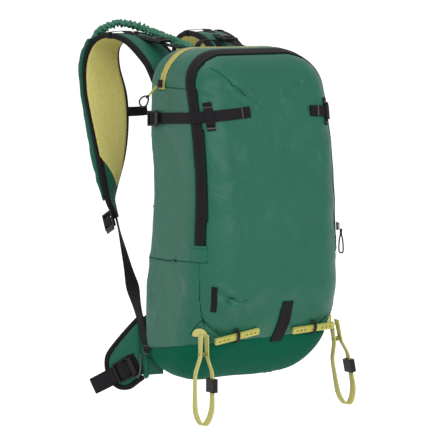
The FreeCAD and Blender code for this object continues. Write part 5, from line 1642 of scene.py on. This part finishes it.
# ---------------------------------------------------------------------------------------------
# Hip belt
# ---------------------------------------------------------------------------------------------
@dataclass
class HipWing:
    """A padded wing on its own body, its binding, its lock's patch, and the belt webbing."""

    side: Side
    hinge_x: float = 117.0
    hinge_y: float = 88.0
    angle: float = 118.0
    thick: float = 9.0
    outline: tuple = ((5.4, 93), (13, 88), (32, 68.5), (48, 51), (61, 35.5), (68, 24), (69.5, 12), (67.5, 0),
                      (59, -15.5), (50, -22), (40, -24), (28, -21.5), (15, -12), (5.4, -5))

    def axes(self) -> tuple[Vector, Vector]:
        """Directions out along the wing and off its outer face."""
        turn, s = math.radians(self.angle), self.side.value
        out = V((-s * math.cos(turn), math.sin(turn), 0))
        return out, V((s * out.y, -s * out.x, 0))

    def point(self, along: float, level: float, off: float) -> Vector:
        """A point at a distance from the hinge, a level and a distance off the middle plane."""
        out, face = self.axes()
        return V((self.side.value * self.hinge_x, self.hinge_y, level)) + out * along + face * off

    def rim(self, shrink: float, off: float) -> list[Vector]:
        """The outline drawn in towards its middle."""
        row = smooth_path([V((u, 0, z)) for u, z in self.outline], 5)
        middle = V((31, 0, 26))
        return [self.point(*(middle.x + (p.x - middle.x) * shrink, middle.z + (p.z - middle.z) * shrink), off)
                for p in row]

    def build(self) -> None:
        """Make the wing and what it carries."""
        word = self.side.word
        wing = word + "_hip"
        half = self.thick / 2
        rings = [self.rim(s, -o) for s, o in ((0.12, half), (0.45, half), (0.78, half - 0.4), (0.9, half - 1.4))]
        rings += [self.rim(s, o) for s, o in ((0.955, 0.0), (0.9, half - 1.4), (0.78, half - 0.4), (0.45, half),
                                              (0.12, half))]
        pad = BENCH.lofted(rings, word + "_wing_pad", Finish.STRAP_SHELL, [word + "_hip_wing"], wing)
        puff(pad, 4.0, 1.4)
        self.map_flat(pad)
        self.binding(wing)
        self.patch(wing)
        self.webbing()
        self.gear_loop(wing)
        self.hinge_fold()

    @staticmethod
    def map_flat(obj: Object) -> None:
        """Give a remeshed pad a flat cloth map."""
        layer = obj.data.uv_layers.get("cloth") or obj.data.uv_layers.new(name="cloth")
        for loop in obj.data.loops:
            co = obj.data.vertices[loop.vertex_index].co
            layer.data[loop.index].uv = (co.x + co.y, co.z)

    def binding(self, wing: str) -> None:
        """Wide grosgrain folded round the wing's free edge."""
        row = self.rim(0.945, 0.0)
        _, face = self.axes()
        rings = []
        last = len(row) - 1
        for i, point in enumerate(row):
            ahead = (row[min(i + 1, last)] - row[max(i - 1, 0)]).normalized()
            rings.append(Station(point, ahead.cross(face), face).ring(oval_profile(8.6, self.thick + 1.4, 14, 0.5)))
        BENCH.lofted(rings, self.side.word + "_wing_binding", Finish.BINDING, body=wing)

    def run(self) -> tuple[Vector, Vector, float]:
        """Start, direction and length of the belt webbing's run on the wing."""
        start, end = self.point(34, 7, 0), self.point(92, -24, 0)
        return start, (end - start).normalized(), (end - start).length

    def patch(self, wing: str) -> None:
        """Black patch and the folded webbing behind the lock."""
        start, run, _ = self.run()
        _, face = self.axes()
        lift = run.cross(face).normalized()
        lift = lift if lift.z > 0 else -lift
        root = self.thick / 2 + 1.1
        rings = []
        for along, high, low in ((-26, 17, -16), (-12, 18, -15.5), (2, 17, -14), (10, 15, -13.5)):
            middle = start + run * along + face * root + lift * (high + low) / 2
            rings.append(Station(middle, lift, face).ring(web_profile(high - low, 1.2)))
        BENCH.lofted(rings, self.side.word + "_wing_patch", Finish.BINDING, body=wing)
        for number, along in enumerate((-16.5, -10.0, -4.0)):
            path = [start + run * along + face * (root + 1.7) + lift * level for level in (-12.5, -6, 0, 6, 12.5)]
            rings = [Station(p, run, face).ring(oval_profile(5.2, 2.6, 12, 0.8)) for p in path]
            BENCH.lofted(rings, f"{self.side.word}_wing_fold_{number}", Finish.BINDING, body=wing)

    def webbing(self) -> None:
        """Belt webbing: out of the lock, round the fold at the wing's tip and back behind."""
        start, run, reach = self.run()
        _, face = self.axes()
        lift = run.cross(face).normalized()
        near = self.thick / 2 + 1.1
        turns = ((-18, near), (reach * 0.4, near), (reach * 0.7, near - 0.6), (reach - 7, near - 1.2),
                 (reach - 0.5, 2.8), (reach + 0.9, 0), (reach - 0.5, -2.8), (reach - 7, 1.2 - near),
                 (reach * 0.7, 0.6 - near), (reach * 0.4, -near), (-3.5, -near))
        path = smooth_path([start + run * along + face * off for along, off in turns], 6)
        word = self.side.word
        BENCH.webbing(path, lift, 25, word + "_belt_web", Finish.WEBBING, [word + "_hip_webbing"], word + "_belt")

    def gear_loop(self, wing: str) -> None:
        """Thin cord loop low on the wing, next to the bag."""
        row = [self.point(6.2, 33, 5.2), self.point(5.0, 29, 9.0), self.point(3.4, 20, 11.2), self.point(4.2, 8, 11.0),
               self.point(9.0, -2, 9.0), self.point(12.5, -3, 5.0)]
        BENCH.corded(smooth_path(row, 7), 1.2, self.side.word + "_gear_loop", Finish.CORD_GREY, body=wing)

    def hinge_fold(self) -> None:
        """The fold of cloth that joins the wing to the bag."""
        rings = []
        for i in range(29):
            z = -4.6 + 97.2 * i / 28
            radius = 4.3 + 0.25 * math.sin(i * 0.9)
            fat = 0.25 if i in (0, 28) else 1.0
            rings.append([V((self.side.value * self.hinge_x + math.cos(t) * radius * fat,
                             self.hinge_y + math.sin(t) * radius * fat, z))
                          for t in [math.tau * k / 16 for k in range(16)]])
        word = self.side.word
        BENCH.lofted(rings, word + "_wing_seam", Finish.STRAP_SHELL, [word + "_wing_piping"])
        out, _ = self.axes()
        hinge = V((self.side.value * self.hinge_x, self.hinge_y, 43.0))
        path = [hinge - V((self.side.value * 26, 7.0, 0)), hinge - V((self.side.value * 4, 1.6, 0)), hinge,
                hinge + out * 8.5]
        BENCH.webbing(path, UP, 84.0, word + "_wing_root", Finish.STRAP_SHELL, thick=3.0)


@dataclass
class LockWebbing:
    """Webbing woven over the middle bar of a ladder lock, on the lock's own body."""

    node: str
    body: str
    width: float
    along: Vector
    normal: Vector

    def build(self) -> None:
        """Find the lock's own frame from its node and weave a strip through it."""
        ahead = self.along.normalized()
        off = (self.normal - ahead * self.normal.dot(ahead)).normalized()
        across = ahead.cross(off)
        points = points_of(self.node)
        reach = self.width * 0.45 + 4
        high = max(p.dot(ahead) for p in points)
        low_off = min(p.dot(off) for p in points)
        sides = [p.dot(across) for p in points]
        origin = ahead * (high - reach) + off * low_off + across * (min(sides) + max(sides)) / 2
        weave = [(reach - 1.0, 0.4), (reach * 0.8, 0.4), (reach * 0.5, 2.0), (reach * 0.22, 4.2), (0, 5.0),
                 (-reach * 0.22, 4.2), (-reach * 0.5, 2.0), (-reach * 0.8, 0.4), (1.0 - reach, 0.4)]
        path = smooth_path([origin + ahead * a + off * b for a, b in weave], 5)
        BENCH.webbing(path, across, self.width - 0.8, self.node + "_weave", Finish.WEBBING, body=self.body, thick=1.4)


def weave_locks() -> None:
    """Weave the webbing through every ladder lock."""
    form = BagForm()
    for side in Side:
        word, s = side.word, side.value
        _, normal = form.on_side(side, 60.0, 392.0)
        LockWebbing(word + "_compression_lock", word + "_compression_ladder", 19.0, V((0, 1, -0.06)), normal).build()
        anchor, crest = lifter_ends(side)
        run = (crest - anchor).normalized()
        LockWebbing(word + "_lifter_lock", word + "_lifter_ladder", 15.0, -run, ALONG_X.cross(run)).build()
        run = V((125.5 * s, 167, 247.5)) - webbing_foot(side, form)
        LockWebbing(word + "_strap_lock", word + "_strap_ladder", 20.0, run, V((s, 0, 0))).build()
        wing = HipWing(side)
        _, run, _ = wing.run()
        LockWebbing(word + "_hip_lock", word + "_hip", 25.0, run, wing.axes()[1]).build()


# ---------------------------------------------------------------------------------------------
# Camera, light and floor
# ---------------------------------------------------------------------------------------------
@dataclass(frozen=True)
class Studio:
    """A long lens, soft light from above and the left, and a pale floor far below."""

    azimuth: float = -35.0
    elevation: float = 6.4
    distance: float = 3.55
    lens: float = 198.2
    aim: tuple[float, float, float] = (-34.7, 23.7, 245.5)
    target: tuple[float, float, float] = (0.0, 0.0, 250.0)
    floor_level: float = -0.95
    floor_glow: float = 0.86
    world_light: float = 0.34
    world_seen: float = 1.0
    lamps: tuple = (("key", (-1.9, -2.9, 1.5), 1.6, 48.0), ("front", (0.1, -3.5, 1.0), 1.3, 42.0),
                    ("side", (-2.7, 1.7, 0.5), 1.6, 22.0), ("top", (0.0, 0.3, 2.6), 1.8, 18.0))
    lamp_aim: tuple[float, float, float] = (0.0, 0.0, -0.25)

    def build(self) -> None:
        """Set the camera, the lamps, the world and the floor."""
        scene = bpy.context.scene
        scene.view_settings.view_transform = "Standard"
        turn, rise = math.radians(self.azimuth), math.radians(self.elevation)
        back = V((math.sin(turn) * math.cos(rise), -math.cos(turn) * math.cos(rise), math.sin(rise)))
        place = (TO_ROW @ V(self.target)) + back * self.distance
        camera = bpy.data.objects.new("camera", bpy.data.cameras.new("camera"))
        scene.collection.objects.link(camera)
        camera.data.lens = self.lens
        camera.data.sensor_width = 36.0
        camera.location = place
        camera.rotation_euler = ((TO_ROW @ V(self.aim)) - place).to_track_quat("-Z", "Y").to_euler()
        scene.camera = camera
        for name, spot, wide, power in self.lamps:
            self.lamp(name, spot, wide, power)
        world = bpy.data.worlds.new("studio")
        scene.world = world
        world.use_nodes = True
        tree = world.node_tree
        tree.nodes.clear()
        rays = add_node(tree, "ShaderNodeLightPath")
        seen = self.seen_directly(tree, rays)
        strength = add_node(tree, "ShaderNodeMapRange", {"Value": seen, "To Min": self.world_light,
                                                           "To Max": self.world_seen})
        light = add_node(tree, "ShaderNodeBackground", {"Color": (1, 1, 1, 1), "Strength": strength.outputs[0]})
        add_node(tree, "ShaderNodeOutputWorld", {"Surface": light.outputs[0]})
        self.floor()

    @staticmethod
    def seen_directly(tree: NodeTree, rays: Node) -> NodeSocket:
        """1 for a camera, glossy or transmission ray and 0 for the others."""
        both = add_node(tree, "ShaderNodeMath", {0: rays.outputs["Is Camera Ray"], 1: rays.outputs["Is Glossy Ray"]},
                        operation="MAXIMUM")
        return add_node(tree, "ShaderNodeMath", {0: both.outputs[0], 1: rays.outputs["Is Transmission Ray"]},
                        operation="MAXIMUM").outputs[0]

    def lamp(self, name: str, place: tuple[float, float, float], wide: float, power: float) -> None:
        """A square soft box that faces the bag."""
        data = bpy.data.lights.new(name, "AREA")
        data.size = wide
        data.energy = power
        obj = bpy.data.objects.new(name, data)
        bpy.context.scene.collection.objects.link(obj)
        obj.location = place
        obj.rotation_euler = (V(self.lamp_aim) - V(place)).to_track_quat("-Z", "Y").to_euler()

    def floor(self) -> None:
        """A pale painted floor that reads as white and keeps the bag's shadow."""
        bm = bmesh.new()
        bmesh.ops.create_grid(bm, x_segments=4, y_segments=4, size=60.0)
        mesh = bpy.data.meshes.new("floor")
        bm.to_mesh(mesh)
        bm.free()
        mesh.transform(Matrix.Translation((0, 0, self.floor_level)))
        floor = bpy.data.objects.new("floor", mesh)
        bpy.context.scene.collection.objects.link(floor)
        material, tree = blank_material("painted_floor")
        rays = add_node(tree, "ShaderNodeLightPath")
        lift = add_node(tree, "ShaderNodeMath", {0: self.seen_directly(tree, rays), 1: self.floor_glow},
                        operation="MULTIPLY")
        paint = add_node(tree, "ShaderNodeBsdfDiffuse", {"Color": (0.86, 0.86, 0.86, 1)})
        glow = add_node(tree, "ShaderNodeEmission", {"Color": (1, 1, 1, 1), "Strength": lift.outputs[0]})
        both = add_node(tree, "ShaderNodeAddShader", {0: paint.outputs[0], 1: glow.outputs[0]})
        add_node(tree, "ShaderNodeOutputMaterial", {"Surface": both.outputs[0]})
        mesh.materials.append(material)


# ---------------------------------------------------------------------------------------------
# Finishes of the CAD parts that show as they are
# ---------------------------------------------------------------------------------------------
HARDWARE: dict[str, Finish] = {
    "_compression_lock": Finish.ACETAL, "_lifter_lock": Finish.ACETAL, "_strap_lock": Finish.ACETAL,
    "_hip_lock": Finish.ACETAL, "_loop_adjuster": Finish.ACETAL, "_sternum_rail": Finish.ACETAL,
    "_socket": Finish.ACETAL, "_prongs": Finish.ACETAL, "_toggle": Finish.TOGGLE, "_zip_slider": Finish.SLIDER,
    "framesheet": Finish.SHEET, "aluminium_stay": Finish.STAY,
}


def dress_hardware() -> None:
    """Give each CAD part that stays in view its finish."""
    for name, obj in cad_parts.items():
        for ending, finish in HARDWARE.items():
            if name.endswith(ending):
                for place in range(max(1, len(obj.material_slots))):
                    if not obj.material_slots:
                        obj.data.materials.append(BENCH.material(finish))
                    obj.material_slots[place].material = BENCH.material(finish)


def main() -> None:
    """Build the scene in order."""
    Studio().build()
    straps = {side: ShoulderStrap(side) for side in Side}
    Hose(straps[Side.LEFT]).build()
    bag = Bag()
    skin = bag.build()
    bag.trims(skin)
    skin.free()
    for strap in straps.values():
        strap.build()
    SternumStrap().build()
    for side in Side:
        SkiLoop(side).build()
        HipWing(side).build()
    TrimCords().build()
    HaulLoop().build()
    BackSystem().build()
    weave_locks()
    dress_hardware()


if __name__ == "__main__":
    main()
